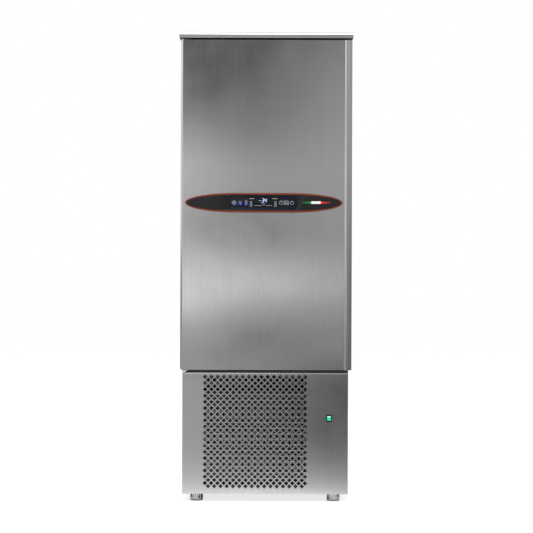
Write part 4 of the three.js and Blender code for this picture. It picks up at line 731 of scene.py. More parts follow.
def fascia_trim():
    """A black seal and a red trim inside it, each a rounded profile carried round the lozenge: an arc over
    the seal, and two quadratic curves over the trim."""
    low, high = corners_of("fascia_trim")
    back, front = high[1], low[1]
    bead = chain((0, back), arc((0.7 * MM, front + 0.7 * MM), 0.7 * MM, 180, 360, 6), (1.4 * MM, back))
    seal = carried(FASCIA_EDGE, bead, wrap_u=True)
    piece("fascia_edge_seal", seal, BLACK_PLASTIC, "door")
    outer, top, inner = 1.55 * MM, 4.4 * MM, 6.95 * MM
    rise = curve((outer, front + 0.9 * MM), (1.8 * MM, front), (top, front), 5)
    fall = curve((top, front), (6.6 * MM, front), (inner, front + 0.8 * MM), 5)
    trim = carried(FASCIA_EDGE, chain((outer, back), rise, fall[1:], (inner, back)), wrap_u=True)
    piece("fascia_red_trim", trim, RUST_RED, "door", ["fascia_trim"])


def fascia_plate():
    """The charcoal plate inside the trim, with a seat cut in it for the glass. Both are outlines carried from
    back to front, with their front edges rounded by arcs."""
    back = corners_of("fascia_trim")[1][1]
    rounded = arc((8.3 * MM, FASCIA_FACE + 1 * MM), 1 * MM, 180, 270, 5)
    plate = carried(FASCIA_EDGE, chain((7.3 * MM, back), rounded), caps=True)
    body = piece("fascia_plate", plate, CHARCOAL_FILM, "door", ["control_fascia"])
    low, high = corners_of("display_window")
    seat = slab(low - (0.3 * MM, 5 * MM, 0.3 * MM), high + 0.3 * MM, 12.3 * MM, 0.01 * MM, steps=8)
    cut_away(body, seat)
    glass = slab(low, high, 12 * MM, 0.35 * MM, steps=8)
    piece("display_glass", glass, DARK_GLASS, "door", ["display_window"])


def display_marks():
    """Everything that is printed on the glass or lit behind it, as flat strokes, rings and dots."""
    face = GLASS_FACE
    signs = [
        ("fan", -133), ("crystal", -106), ("thermometer", -80), ("clock", 78), ("trays", 101), ("start", 126),
    ]
    marks = [part for kind, x in signs for part in icon(kind, x, face)]
    marks += [printed_ring(x, h, r, 1.8, face) for x in (-57, 52) for h, r in ((-11, 6.5), (1.5, 5))]
    marks += [stroke(-64, 18, -44, 18, 2.6, face), printed_ring(0, -7, 4.2, 1.3, face)]
    marks += [stroke(-42, -12.5, -9, -12.5, 1.6, face), stroke(9, -12.5, 37, -12.5, 1.6, face)]
    piece("display_signs", together(marks), PRINT_GREY, "door")
    piece("display_set_mark", stroke(38, 18, 60, 18, 2.6, face), PRINT_YELLOW, "door")
    dots = [printed_dot(x, -6, 3.6, face - 0.02 * MM) for x in (-126, -101, -76)]
    piece("display_lamps", together(dots), LIT_BLUE, "door")
    figures = seven_segments("-34", -21, 9.5, 17.5, face)
    piece("display_figures", together(figures), LIT_WHITE, "door")


def stripe():
    """A stripe of three flat strokes, end to end: one that widens, one even and one that narrows."""
    left, right, middle = 170, 297, 1.2
    third = (right - left) / 3
    strokes = (
        ("green", STRIPE_GREEN, 1.5, 7.4), ("white", STRIPE_WHITE, 11, 1.0), ("red", STRIPE_RED, 11, 0.135),
    )
    for number, (colour, finish, width, taper) in enumerate(strokes):
        start = left + number * third
        line = stroke(start, middle, start + third, middle, width, FASCIA_FACE, taper)
        piece(f"stripe_{colour}", line, finish, "door")


def cut_away(target, form):
    """Takes a closed form out of a piece, for good."""
    cutter = bpy.data.objects.new("cutter", shell("cutter", form))
    bpy.context.scene.collection.objects.link(cutter)
    cut = target.modifiers.new("cut", "BOOLEAN")
    cut.operation, cut.solver, cut.object = "DIFFERENCE", "EXACT", cutter
    bpy.context.view_layer.update()
    made = bpy.data.meshes.new_from_object(target.evaluated_get(bpy.context.evaluated_depsgraph_get()))
    target.modifiers.remove(cut)
    old, target.data = target.data, made
    bpy.data.objects.remove(cutter)
    bpy.data.meshes.remove(old)
    made.name = target.name


# ---------------------------------------------------------------- cabinet

def screws(name, places):
    """Pan-head screws with a round socket, seated at places and looking along +Y: a profile turned, with flat
    caps at both ends."""
    radius, tall = 3.6, 1.6
    brim, mouth, socket = (radius, 0.3 * tall), (radius * 0.45, tall), (radius * 0.4, tall * 0.35)
    head = chain((radius, 0), curve(brim, (radius * 0.9, tall), mouth, 4), socket)
    form = repeated(spun(turned(head * MM, sides=16), -90, "x"), places)
    piece(name, form, SCREW_STEEL, "cabinet")


def top_cover():
    """The cover's section pushed from side to side: its brow and its lip are two arcs, joined by the straight
    face that touches both and leans back as it rises. A black rubber strip under its overhang is painted
    shade, which darkens the gap above the door."""
    low, high = corners_of("top_cover")
    y0, y1, z0, z1 = low[1], high[1], low[2], high[2]
    nose, lip, drop, lean = 14.5 * MM, 2 * MM, 1.2 * MM, 8
    rise = (z1 - nose) - (z0 - drop + lip)
    setback = (rise * np.sin(np.radians(lean)) + nose - lip) / np.cos(np.radians(lean))
    brow = arc((y0 + lip + setback, z1 - nose), nose, 90, 180 - lean, 12)
    chin = arc((y0 + lip, z0 - drop + lip), lip, 180 - lean, 270, 6)
    face = chain(brow[-1] * 0.97 + chin[0] * 0.03, brow[-1] * 0.03 + chin[0] * 0.97)
    fold = y0 + 3 * MM
    profile = chain((y1, z0), (y1, z1), brow, face, chin, (fold, z0 - drop), (fold, z0))
    sheet = pushed(profile, low[0], high[0], "x")
    piece("top_cover_sheet", sheet, TOP_STEEL, "cabinet", ["top_cover"], bevel=1.2 * MM)
    # painted shade: a black strip under the overhang, for the dark gap between the cover and the door
    start = (low[0] + 2 * MM, y0 + 3.5 * MM, z0 - 1.2 * MM)
    end = (high[0] - 2 * MM, y0 + 78 * MM, z0 + 0.1 * MM)
    strip = slab(start, end, 1 * MM, 0.3 * MM, "z")
    piece("cover_painted_shade_strip", strip, SEAL_RUBBER, "cabinet")


EASED_SHEETS = (  # solid, piece, material, slot and how far its edges are eased, in mm
    ("side_panel_left", "side_sheet_left", SIDE_STEEL, "brushed_steel", 0.4),
    ("side_panel_right", "side_sheet_right", SIDE_STEEL, "brushed_steel", 0.4),
    ("back_panel", "back_sheet", GALVANISED, "galvanised_steel", 0.4),
    # black enamel chassis, in part painted shade: its dark front stands for the shade seen through the front
    # panel's holes
    ("base_frame", "base_pan", BLACK_ENAMEL, "black_enamel", 0.6),
    ("bay_ceiling", "bay_ceiling_sheet", GALVANISED, "galvanised_steel", 0.4),
    ("door_frame", "door_frame_strip", GREY_PLASTIC, "grey_plastic", 1.5),
    ("electrical_box", "electrical_box_shell", GREY_PAINT, "grey_paint", 0.8),
    ("condenser_shroud", "condenser_shroud_sheet", GALVANISED, "galvanised_steel", 0.4),
    ("drip_pan", "drip_pan_sheet", LINER_STEEL, "liner_steel", 0.4),
)


def sheets():
    """The plain sheets and mouldings with their edges eased, better materials for the solids whose shape is
    right, and the narrow fold along the front panel's top: a flat profile pushed across."""
    for node, name, material, slot, bevel in EASED_SHEETS:
        eased(node, name, material, bevel * MM)
    dress(PANEL_STEEL, "front_panel")
    low, high = corners_of("front_panel")
    fold = np.array([(-0.05, -5.5), (-0.6, -5.3), (-0.1, -0.3), (-0.05, -0.1)]) * MM + (low[1], high[2])
    strip = pushed(fold, -373 * MM, 373 * MM, "x")
    piece("front_panel_fold", strip, PANEL_STEEL, "cabinet")
    dress(FOAM, "wall_foam", "door_foam")
    dress(CIRCUIT, "control_board")


def liner_room():
    """The cavity's lining: a sheet pan that opens forwards."""
    low, high = corners_of("inner_liner")
    room = pan(low, high, 12 * MM, 8 * MM, 8 * MM, high[1], low[1], -1)
    piece("liner_room", room, LINER_STEEL, "cabinet", ["inner_liner"])


def back_panel_screws():
    """Two columns of six screws."""
    low, high = corners_of("back_panel")
    rows = np.linspace(low[2] + 40 * MM, high[2] - 40 * MM, 6)
    columns = (low[0] + 12 * MM, high[0] - 12 * MM)
    screws("back_panel_screws", [(x, high[1] - 1.6 * MM, z) for x in columns for z in rows])


def rear_grille():
    """The grille, and over each of its slots a pressed hood that opens downwards: (127 u, 0.45 r s sin a,
    r s cos a) mm, where s is sqrt(1 - u^24), so that the hood keeps its height and dies out near its ends."""
    low, high = corners_of("rear_grille")
    eased("rear_grille", "rear_grille_sheet", GALVANISED, 0.3 * MM)
    face = low[1] + SHEET
    u = np.sin(np.linspace(-np.pi / 2, np.pi / 2, 25))[:, None]
    a = np.radians(np.linspace(0, 100, 11))[None]
    swell = np.sqrt(np.clip(1 - u**24, 0.002, 1))

    def side(radius):
        """One side of a hood's sheet."""
        y = face + 0.05 * MM + 0.45 * radius * np.sin(a) * swell
        return np.stack([127 * MM * u + 0 * a, y, -3 * MM + radius * np.cos(a) * swell], -1)

    hood = grid(np.concatenate([side(16 * MM), side(15 * MM)[:, ::-1]], 1), wrap_v=True, caps=True)
    first, pitch, column = high[2] - 72 * MM, 34 * MM, 187.5 * MM
    slots = [(x, 0, first - pitch * row) for row in range(8) for x in (-column, column)]
    piece("rear_grille_hoods", repeated(hood, slots), GALVANISED, "cabinet", smooth=60)
    rows = np.linspace(low[2] + 30 * MM, high[2] - 30 * MM, 4)
    columns = (low[0] + 10 * MM, high[0] - 10 * MM, 0)
    screws("rear_grille_screws", [(x, face, z) for x in columns for z in rows])


def cable_gland():
    """A threaded barrel, a six-sided nut and a domed cap, each a profile turned about the gland's axis."""
    low, high = corners_of("cable_gland")
    x, z = (low[0] + high[0]) / 2, (low[2] + high[2]) / 2
    barrel = chain((5.3, 0), zigzag(0, 15, 1.5, 10.9, 10.2), (10.9, 18), (5.3, 18))
    nut = chain((5.3, 18.7), (13.9, 18.7), (13.9, 26), (5.3, 26))
    dome = chain((5.3, 26.1), (11.6, 26.1), curve((11.6, 30), (11.4, 33.6), (8, 34), 6), (5.6, 34))
    sides_of = ((barrel, 32), (nut, 6), (dome, 32))
    forms = [turned(part * MM, x, low[1], z, "y", sides, wrap_u=True) for part, sides in sides_of]
    piece("cable_gland_nut", together(forms), BLACK_PLASTIC, "cabinet", ["cable_gland"])


def feet():
    """Each foot is a grooved sleeve on a threaded stem, with a softer ring round its base, both about the
    stem's axis. The sleeve's radius is r - 1.8 f g^4 mm, where g is (1 + cos 14 a) / 2 and f is 1 along the
    grooves."""
    profile = chain(
        (24, 0.6), (28.6, 0.6), (28.6, 5), (29, 5.4), (29, 6), (29, 31.6), (29, 32.6),
        arc((27.4, 34.1), 1.6, 0, 90, 4), (8, 35.7), zigzag(37, 98, 1.25, 8.0, 7.3), (7, 100), (2, 100),
    )
    grooves, along = 14, np.zeros((len(profile), 1))
    along[4:6] = 1
    a = np.linspace(0, 2 * np.pi, grooves * 16, endpoint=False)
    radius = profile[:, :1] - 1.8 * along * (0.5 + 0.5 * np.cos(grooves * a)) ** 4
    points = np.stack([radius * np.cos(a), radius * np.sin(a), profile[:, 1:] + 0 * a], -1)
    sleeve = grid(points * MM, wrap_v=True, caps=True)
    pad = np.array([(20, 0), (28.2, 0), (29, 0.8), (29, 4.6), (28.4, 5.2), (20, 5.2)]) * MM
    for corner in ("front_left", "front_right", "rear_left", "rear_right"):
        body = f"foot_{corner}"
        x, y, _ = sum(corners_of(body)) / 2
        base = turned(pad, x, y, sides=72, wrap_u=True)
        piece(f"levelling_foot_{corner}", moved(sleeve, x, y), FOOT_STEEL, body, [body])
        piece(f"foot_pad_{corner}", base, FOOT_PAD, body)


# ---------------------------------------------------------------- hinges and switch

def hinges():
    """Leaves with eased edges, headed pins turned about the hinge's axis with a chamfer at the tip, and a
    turned cap under the lower pin."""
    for where in ("bottom", "top"):
        eased(f"hinge_bracket_{where}", f"hinge_leaf_{where}", BRIGHT_STEEL, 1.2 * MM)
        node = f"hinge_pin_{where}"
        low, high = corners_of(node)
        tall, r = (high[2] - low[2]) / MM, 6
        head = chain((2, 0), curve((7.6, 0), (9, 0), (9, 0.9), 4), (9, 1.7))
        section = chain(head, (r, 1.8), (r, tall - 1.2), (r - 1.2, tall)) * MM
        base, side = (low[2], 1) if where == "bottom" else (high[2], -1)
        pin = turned(section * (1, side), HINGE[0], HINGE[1], base)
        piece(f"{node}_turned", pin, BRIGHT_STEEL, "cabinet", [node])
    base = corners_of("hinge_bracket_bottom")[0][2]
    cap = np.array([(3, 0), (10.8, 0), (10.8, -0.6), (7.3, -6.6), (6.6, -7.2), (3, -7.2)]) * MM
    cap = turned(cap, HINGE[0], HINGE[1], base)
    piece("hinge_pin_cap", cap, CHROME, "cabinet", smooth=20)


SWITCH = sum(corners_of("switch_housing")) / 2
ROCKER_REST = -12  # degrees, tipped to its "on" side


def switch_bezel():
    """The housing's barrel, bezel and pocket: rounded rectangles of three sizes, joined in turn."""
    low, high = corners_of("switch_housing")
    back, front = high[1], low[1]
    seat = front + 2 * MM

    def around(wide, tall, radius):
        """A rounded rectangle about the switch's middle, from its half width and half height in mm."""
        x, z = SWITCH[0], SWITCH[2]
        return rectangle_loop(x - wide * MM, x + wide * MM, z - tall * MM, z + tall * MM, radius * MM, 5)

    bezel, barrel, pocket = around(13.5, 16.5, 3), around(10.5, 15, 1.2), around(9, 13.5, 1)
    outer = arc((0.9 * MM, front + 0.9 * MM), 0.9 * MM, 180, 270, 4)
    inner = arc((3.1 * MM, front + 0.8 * MM), 0.8 * MM, 270, 350, 3)
    rows = [(barrel, 0, back), (barrel, 0, seat)] + rows_of(bezel, chain((0, seat), outer, inner))
    rows += [(pocket, 0, seat), (pocket, 0, back - 1.5 * MM)]
    form = lofted(rows, caps=True)
    piece("switch_bezel", form, BLACK_PLASTIC, "cabinet", ["switch_housing"])


def rocker():
    """The key is drawn level about its pivot in (y, z), pushed across, then tipped. Its two faces are
    quadratic curves that fall away from its middle. Two flat plates follow the upper face: a black one of
    painted shade, and a glowing pale cyan one that is a painted reflection."""
    pivot = (0, -311.5 * MM, SWITCH[2])
    half, wide, proud, dish = 11.6, 8.7, 7.0, 0.7
    fall = half * np.tan(np.radians(-ROCKER_REST))

    def tipped(section, reach):
        """A section in mm about the pivot, pushed `reach` mm to each side and tipped."""
        form = pushed(np.array(section) * MM + pivot[1:], SWITCH[0] - reach * MM, SWITCH[0] + reach * MM, "x")
        return spun(form, ROCKER_REST, "x", pivot)

    def mark(low, high, reach):
        """A flat plate on the upper face between two heights. At a share s of the key's half height the face
        lies at -(proud + fall s) + 2 dish s (1 - s)."""
        near, far = (-proud - fall * s + 2 * dish * s * (1 - s) for s in (low / half, high / half))
        return tipped([(near - 0.25, low), (far - 0.25, high), (far + 0.3, high), (near + 0.3, low)], reach)

    end, bend = (-proud - fall, half - 0.5), (-proud - fall / 2 + dish, half / 2)
    upper = curve(end, bend, (-proud, 0.4), 6)
    lower = upper[::-1] * (1, -1)
    rim = 0.5 - proud - fall
    back = chain((rim, -half), (2, -half + 2), (5, 0), (2, half - 2), (rim, half))
    key = tipped(chain(lower, back, upper), wide)
    piece("rocker_key", key, LIT_GREEN, "rocker", ["switch_rocker"], bevel=0.5 * MM)
    # painted shade: a black plate over the upper end of the lit key
    piece("rocker_painted_shade", mark(7.9, 11.2, 8.6), BLACK_PLASTIC, "rocker")
    # painted reflection: a pale cyan plate that glows on the upper face
    piece("rocker_painted_reflection", mark(4.4, 7.6, 7.6), PAINTED_REFLECTION_CYAN, "rocker", bevel=0.1 * MM)


# ---------------------------------------------------------------- inside the cavity

FAN_HEIGHTS = {  # of the wheels' axes, in mm
    "evaporator_fan_1": 916.5, "evaporator_fan_2": 1336.5, "evaporator_fan_3": 1756.5, "condenser_fan": 292,
}


def fan_middle(node):
    """A wheel's middle on its own axis. With five blades its box is taller above the axis than below it, so
    only x and y come from the box."""
    middle = sum(corners_of(node)) / 2
    middle[2] = FAN_HEIGHTS[node] * MM
    return middle


def racks():
    """The tray racks, the fan panel and the probe's holder, with their edges eased."""
    for side in ("left", "right"):
        eased(f"tray_rack_{side}", f"rack_{side}", RACK_STEEL, 0.5 * MM)
    eased("fan_panel", "fan_panel_sheet", LINER_STEEL, 0.3 * MM)
    eased("core_probe_holder", "probe_holder", BLACK_PLASTIC, 1 * MM)


def probe():
    """A pointed needle and a ribbed grip, turned about the probe's axis; heights go down from its top."""
    low, high = corners_of("core_probe")
    x, y, top = (low[0] + high[0]) / 2, (low[1] + high[1]) / 2, high[2]
    needle = np.array([(0.3, -220), (1, -217), (2, -208), (2, -92), (3.2, -91), (3.2, -88)]) * MM
    needle = turned(needle, x, y, top, sides=20)
    piece("core_probe_needle", needle, BRIGHT_STEEL, "cabinet", ["core_probe"])
    grip = chain(
        (3.4, -90), curve((6, -90), (8, -90), (8, -86), 4), zigzag(-82, -50, 2.0, 8.0, 7.3), (8, -48),
        (8, -4.6), (10.5, -4.6), (10.5, -1), (9.5, 0), (2, 0),
    )
    grip = turned(grip * MM, x, y, top, sides=28)
    piece("core_probe_grip", grip, BLACK_PLASTIC, "cabinet")


def fan_guards():
    """Seven round wires and four bent spokes before each wheel, turned about its axis."""
    guards = []
    y = corners_of("fan_panel")[0][1] - 4 * MM
    path = np.array([(0, -2.4, 20), (0, -2.4, 106), (0, -2.0, 117), (0, 2.6, 119)]) * MM
    rod = tube(bent(path, 5 * MM, 4), 1.4 * MM, 8)
    for number in (1, 2, 3):
        z = fan_middle(f"evaporator_fan_{number}")[2]
        guards += [ring(r * MM, 1.3 * MM, 0, y, z) for r in (22, 38, 54, 70, 86, 102, 112)]
        guards += [moved(spun(rod, turn), 0, y, z) for turn in (45, 135, 225, 315)]
    piece("fan_guards", together(guards), BRIGHT_STEEL, "cabinet", smooth=60)


def fin_block(x0, x1, y0, y1, z0, z1, pitch):
    """Thin upright fins a pitch apart, each a closed strip whose middle waves across its depth: x is
    1.2 sin(4 pi d) mm at a share d of the depth."""
    count = int((x1 - x0) / pitch)
    depth = np.linspace(0, 1, 9)
    y = y0 + depth * (y1 - y0)
    bow = 1.2 * MM * np.sin(depth * 4 * np.pi)
    outline = np.concatenate([np.stack([bow, y], -1), np.stack([bow + 0.25 * MM, y], -1)[::-1]])
    places = np.stack([np.linspace(x0, x1, count), np.zeros(count), np.zeros(count)], -1)
    return repeated(pushed(outline, z0, z1), places)


def hairpins(x0, x1, y, z_first, z_last, count, radius):
    """Straight tubes across the fins, and the bends that join them in pairs outside the end plates: half
    circles (x + h cos a, z + h sin a), where h is half the tubes' pitch."""
    heights = np.linspace(z_first, z_last, count)
    forms = [tube([(x0, y, z), ((x0 + x1) / 2, y, z), (x1, y, z)], radius, 10) for z in heights]
    half = (heights[1] - heights[0]) / 2
    a = np.radians(np.linspace(-90, 90, 9))
    for i in range(count - 1):
        x, side = (x1, 1) if i % 2 else (x0, -1)
        across, up = x + side * half * np.cos(a), heights[i] + half + half * np.sin(a)
        bend = np.stack([across, np.full(len(a), y), up], -1)
        forms.append(tube(bend, radius * 1.05, 10))
    return together(forms)


def condenser_coil():
    """Waved fins between two end plates, and three rows of tubes through them."""
    low, high = corners_of("condenser_coil")
    x0, x1 = low[0] + 3 * MM, high[0] - 3 * MM
    y0, y1 = low[1] + 4 * MM, high[1]
    z0, z1 = 82 * MM, 502 * MM
    fins = fin_block(x0 + 2 * MM, x1 - 2 * MM, y0, y1, z0, z1, 3.2 * MM)
    piece("condenser_fins", fins, FIN_ALUMINIUM, "cabinet", ["condenser_coil"], smooth=60)
    half = 1.5 * MM
    ends = [((x - half, low[1], low[2]), (x + half, y1, high[2])) for x in (x0, x1)]
    plates = [slab(*corners, 4 * MM, 0.3 * MM, "x") for corners in ends]
    piece("condenser_end_plates", together(plates), GALVANISED, "cabinet")
    rows, end = (y0 + 8 * MM, y0 + 46 * MM, y1 - 12 * MM), 19.5 * MM
    tubes = [hairpins(x0, x1, y, z0 + end, z1 - end, 16, 4.8 * MM) for y in rows]
    piece("condenser_tubes", together(tubes), FIN_ALUMINIUM, "cabinet", smooth=60)


def evaporator_coil():
    """Waved fins between two end plates, each with a tab at its top that reaches the back, and three rows of
    tubes through them."""
    low, high = corners_of("evaporator_coil")
    x0, x1 = low[0] + 2 * MM, high[0] - 2 * MM
    y0, y1 = 240 * MM, 330 * MM
    z0, z1 = 680 * MM, 1920 * MM
    fins = fin_block(x0 + 2 * MM, x1 - 2 * MM, y0, y1, z0, z1, 5 * MM)
    piece("evaporator_fins", fins, FIN_ALUMINIUM, "cabinet", ["evaporator_coil"], smooth=60)
    plates, half = [], 1 * MM
    for x in (x0, x1):
        plate = (x - half, y0 - 4 * MM, low[2]), (x + half, y1, high[2])
        tab = (x - half, y1 - 20 * MM, high[2] - 68 * MM), (x + half, high[1], high[2])
        plates += [slab(*corners, 3 * MM, 0.2 * MM, "x") for corners in (plate, tab)]
    piece("evaporator_end_plates", together(plates), GALVANISED, "cabinet")
    rows, end = (y0 + 18 * MM, y0 + 46 * MM, y1 - 16 * MM), 30 * MM
    tubes = [hairpins(x0, x1, y, z0 + end, z1 - end, 24, 5 * MM) for y in rows]
    piece("evaporator_tubes", together(tubes), COPPER, "cabinet", smooth=60)


def wheel(name, node, radius, hub, depth):
    """A fan wheel about Y with five blades. Each blade is a thin curved sheet between the hub and the tip
    circle: at radius r it spans an arc of angles, and its depth goes from one face of the wheel to the other
    along it."""
    blades = 5
    r = np.linspace(hub * 0.9, radius, 10)[:, None]
    t = np.linspace(-1, 1, 13)[None]
    out = (r - hub) / (radius - hub)
    angle = np.radians(25) * (1 + 0.25 * out) * t + np.radians(14) * out**2
    lift = depth / 2 * 0.86 * (t + 0.18 * (1 - t**2)) * (1 - 0.25 * out)
    across = np.stack([r * np.sin(angle), lift, r * np.cos(angle)], -1)
    sheet = np.concatenate([across, (across + (0, 1 * MM, 0))[:, ::-1]], 1)
    blade = grid(sheet, wrap_v=True, caps=True)
    forms = [spun(blade, 360 * i / blades) for i in range(blades)]
    d, bore = depth / 2, 4.3 * MM
    profile = chain(
        (bore, d), (hub * 0.9, d), (hub * 0.9, d - 2 * MM), (hub, d - 2 * MM), (hub, -d + 3 * MM),
        arc((hub - 3 * MM, -d + 3 * MM), 3 * MM, 0, -90, 4), (bore, -d),
    )
    forms.append(turned(profile, sides=48, axis="y", wrap_u=True))
    form = moved(together(forms), *fan_middle(node))
    piece(name, form, BLACK_PLASTIC, node, [node], smooth=40)


def motor(name, node, fan, radius, length, wheel_depth, reach, arms):
    """A can about Y with rounded rims and a seam band, its shaft, and flat arms whose ends turn forwards to
    the sheet. The can is a profile turned about the axis, each arm a flat outline pushed across its width."""
    start, tip = wheel_depth / 2 + 4, -wheel_depth / 4
    end, seam = start + length, start + 0.3 * length
    profile = chain(
        (3.2, tip + 0.9), (4, tip + 1.7), (4, start), arc((radius - 4, start + 4), 4, -90, 0, 4),
        (radius, seam), (radius + 0.8, seam + 0.8), (radius + 0.8, seam + 4), (radius, seam + 4.8),
        arc((radius - 7, end - 7), 7, 0, 90, 6), (radius * 0.4, end), (radius * 0.36, end - 1.5),
    )
    near, far = start + 4, start + 8
    arm = chain(
        (far, radius - 4), curve((far, reach - 6), (far, reach), (far - 6, reach), 6), (0.3, reach),
        (0.3, reach - 4), curve((near - 2, reach - 4), (near, reach - 4), (near, reach - 6), 4),
        (near, radius - 4),
    )
    strip = pushed(arm * MM, -6 * MM, 6 * MM, "x")
    forms = [turned(profile * MM, axis="y", sides=48)]
    forms += [spun(strip, (i + 0.5) * 360 / arms) for i in range(arms)]
    form = moved(together(forms), *fan_middle(fan))
    piece(name, form, BLACK_ENAMEL, "cabinet", [node], smooth=40)


def fans():
    """Three evaporator fans and the condenser's fan, each a wheel and its motor."""
    for number in (1, 2, 3):
        node = f"evaporator_fan_{number}"
        wheel(f"evaporator_wheel_{number}", node, 100 * MM, 32 * MM, 22 * MM)
        motor(f"evaporator_motor_{number}", f"evaporator_fan_motor_{number}", node, 38, 48, 22, 117, 3)
    wheel("condenser_wheel", "condenser_fan", 150 * MM, 40 * MM, 30 * MM)
    motor("condenser_motor", "condenser_fan_motor", "condenser_fan", 48, 70, 30, 167, 4)


# ---------------------------------------------------------------- machine bay

STANDS = 38.3  # mm, where the bay's parts stand
COMPRESSOR, RECEIVER, RISER = (-215, 190), (120, 60), (225, 190)  # mm, axes in x and y


def pipe(name, node, *corners):
    """A pipe along its corners, in millimetres, with bends of 34 mm: its radius is 8 mm, and 9.2 mm over the
    last 16 mm at each end, where the joint is belled."""
    path = bent(np.array(corners) * MM, 34 * MM, 10)
    first, last = path[1] - path[0], path[-2] - path[-1]
    near = path[0] + first / np.linalg.norm(first) * np.array([[0], [16], [18]]) * MM
    far = path[-1] + last / np.linalg.norm(last) * np.array([[18], [16], [0]]) * MM
    run = chain(near, path[1:-1], far)
    radius = np.full(len(run), 8.0)
    radius[[0, 1, -2, -1]] = 9.2
    piece(name, tube(run, radius * MM, 20), COPPER, "cabinet", [node], smooth=50)


def compressor():
    """A can of two drawn shells, turned about its axis: quadratic shoulders above and below, and a raised
    weld band between them. It stands on a plate with bolted grommets and carries a box over its terminals."""
    x, y, foot = COMPRESSOR[0] * MM, COMPRESSOR[1] * MM, (STANDS + 22) * MM

    def block(low, high, corner, edge, facing, steps=4):
        """A slab between two places in mm from the can's foot."""
        start, end = (np.array(place) * MM + (x, y, foot) for place in (low, high))
        return slab(start, end, corner * MM, edge * MM, facing, steps)

    drawn = chain(
        (86, 4.8), curve((98, 5), (117, 8), (117, 40), 10), (117, 148), (118, 149), (118, 160), (117, 161),
        curve((117, 230), (117, 292), (56, 297), 16), curve((56, 297), (34, 300), (14, 300), 5)[1:],
    )
    plate = block((-118, -118, 0), (118, 118, 5), 16, 0.8, "z")
    can = together([turned(drawn * MM, x, y, foot, sides=64), plate])
    piece("compressor_shell", can, BLACK_ENAMEL, "cabinet", ["compressor"])

    corners = [(x + a * MM, y + b * MM, STANDS * MM) for a in (-104, 104) for b in (-104, 104)]
    waist = curve((12.6, 6), (8.6, 10), (12.6, 15), 8)
    rubber = chain((9, 0), (12, 0.6), (12.6, 4), waist, (12.6, 20), (12, 21.7), (9, 21.7))
    grommets = repeated(turned(rubber * MM, sides=24), corners)
    piece("compressor_grommets", grommets, SEAL_RUBBER, "cabinet")
    washer = turned(np.array([(9, 27.2), (9, 28.8), (5, 28.8)]) * MM, sides=24)
    head = turned(np.array([(7, 28.8), (7, 33), (6, 34)]) * MM, sides=6)
    bolts = repeated(together([washer, head]), corners)
    piece("compressor_bolts", bolts, SCREW_STEEL, "cabinet")

    cover = block((105, -32, 126), (152, 32, 216), 8, 3, "x", 6)
    clip = block((110, -34, 166), (153, 34, 176), 2, 0.8, "z")
    piece("compressor_terminal_cover", cover, BLACK_PLASTIC, "cabinet")
    piece("compressor_cover_clip", clip, SCREW_STEEL, "cabinet")


def receiver():
    """A vessel on a foot: its section turned, with quadratic shoulders and a seam between its halves."""
    x, y = RECEIVER
    section = chain(
        (30, 0), (36.4, 0), (37.2, 0.8), (37.2, 16), curve((44, 16.4), (62, 18), (62, 44), 8), (62, 164),
        (62.5, 165), (62.5, 171), (62, 172), curve((62, 286), (62, 310), (26, 312), 8), (13, 312.4),
        (13, 316), (3, 316),
    )
    vessel = turned(section * MM, x * MM, y * MM, STANDS * MM, sides=56)
    piece("receiver_vessel", vessel, BLACK_ENAMEL, "cabinet", ["liquid_receiver"])


def drier():
    """A spun can with a stub at each end, turned about the liquid line's riser."""
    x, y = RISER
    section = chain(
        (8.4, 0.2), (10.6, 0.2), (10.6, 7), curve((12, 9), (28, 14), (28, 28), 8),
        curve((28, 72), (28, 86), (12, 91), 8), (10.6, 93), (10.6, 99.8), (8.4, 99.8),
    )
    can = turned(section * MM, x * MM, y * MM, 470 * MM, sides=48, wrap_u=True)
    piece("drier_can", can, COPPER, "cabinet", ["filter_drier"], smooth=50)


def valve():
    """A six-sided body and collar, a barrel between them and a flat round head, all turned about the liquid
    line's riser, with a stub turned about Y for the coil's inlet."""
    x, y = RISER
    body = [(9.5, 0), (14, 0.4), (14, 17), (12.6, 18)]
    barrel = [(11, 17), (11, 49)]
    collar = [(12.6, 48), (14, 49), (14, 59), (9.5, 60)]
    head = [(7, 59.5), (19, 61), (21, 62.6), (21, 65), (19, 66.4), (12, 69), (9, 71.6), (3, 72)]
    sides_of = ((body, 6), (barrel, 32), (collar, 6), (head, 40))
    parts = [turned(np.array(part) * MM, x * MM, y * MM, 840 * MM, sides=sides) for part, sides in sides_of]
    stub = np.array([(8, 0), (8, 30), (12, 31), (12, 41), (8, 42), (8, 49.6)]) * MM
    parts.append(turned(stub, x * MM, y * MM, 870 * MM, "y", 24))
    piece("valve_body", together(parts), BRASS, "cabinet", ["expansion_valve"])


def lines():
    """The pipes, along the same routes as their solids, and the tray for melt water."""
    pipe(
        "discharge_pipe", "discharge_line",
        (-215, 71.7, 270.3), (-215, 3.7, 270.3), (-215, 3.7, 462), (241.3, 3.7, 462), (241.3, -244, 462),
        (191.3, -244, 462),
    )
    pipe(
        "condenser_outlet_pipe", "condenser_outlet_line",
        (191.3, -244, 122), (241.3, -244, 122), (241.3, 60, 122), (182.3, 60, 122),
    )
    pipe(
        "liquid_pipe", "liquid_line",
        (120, 60, 354.6), (120, 60, 420.3), (225, 190, 420.3), (225, 190, 839.7),
    )
    pipe(
        "suction_pipe", "suction_line",
        (175, 239.7, 880), (175, 190, 880), (175, 190, 450), (-215, 190, 450), (-215, 190, 360.6),
    )
    eased("condensate_tray", "melt_water_tray", BLACK_PLASTIC, 0.6 * MM)


# ---------------------------------------------------------------- studio

def seen_or_mirrored(tree):
    """1 for rays from the camera, a reflection or glass, 0 for the light that falls on things."""
    path = node_of(tree, "LightPath")
    inputs = {0: path.outputs["Is Camera Ray"], 1: path.outputs["Is Glossy Ray"]}
    both = node_of(tree, "Math", inputs, operation="MAXIMUM")
    inputs = {0: both.outputs[0], 1: path.outputs["Is Transmission Ray"]}
    return node_of(tree, "Math", inputs, operation="MAXIMUM").outputs[0]


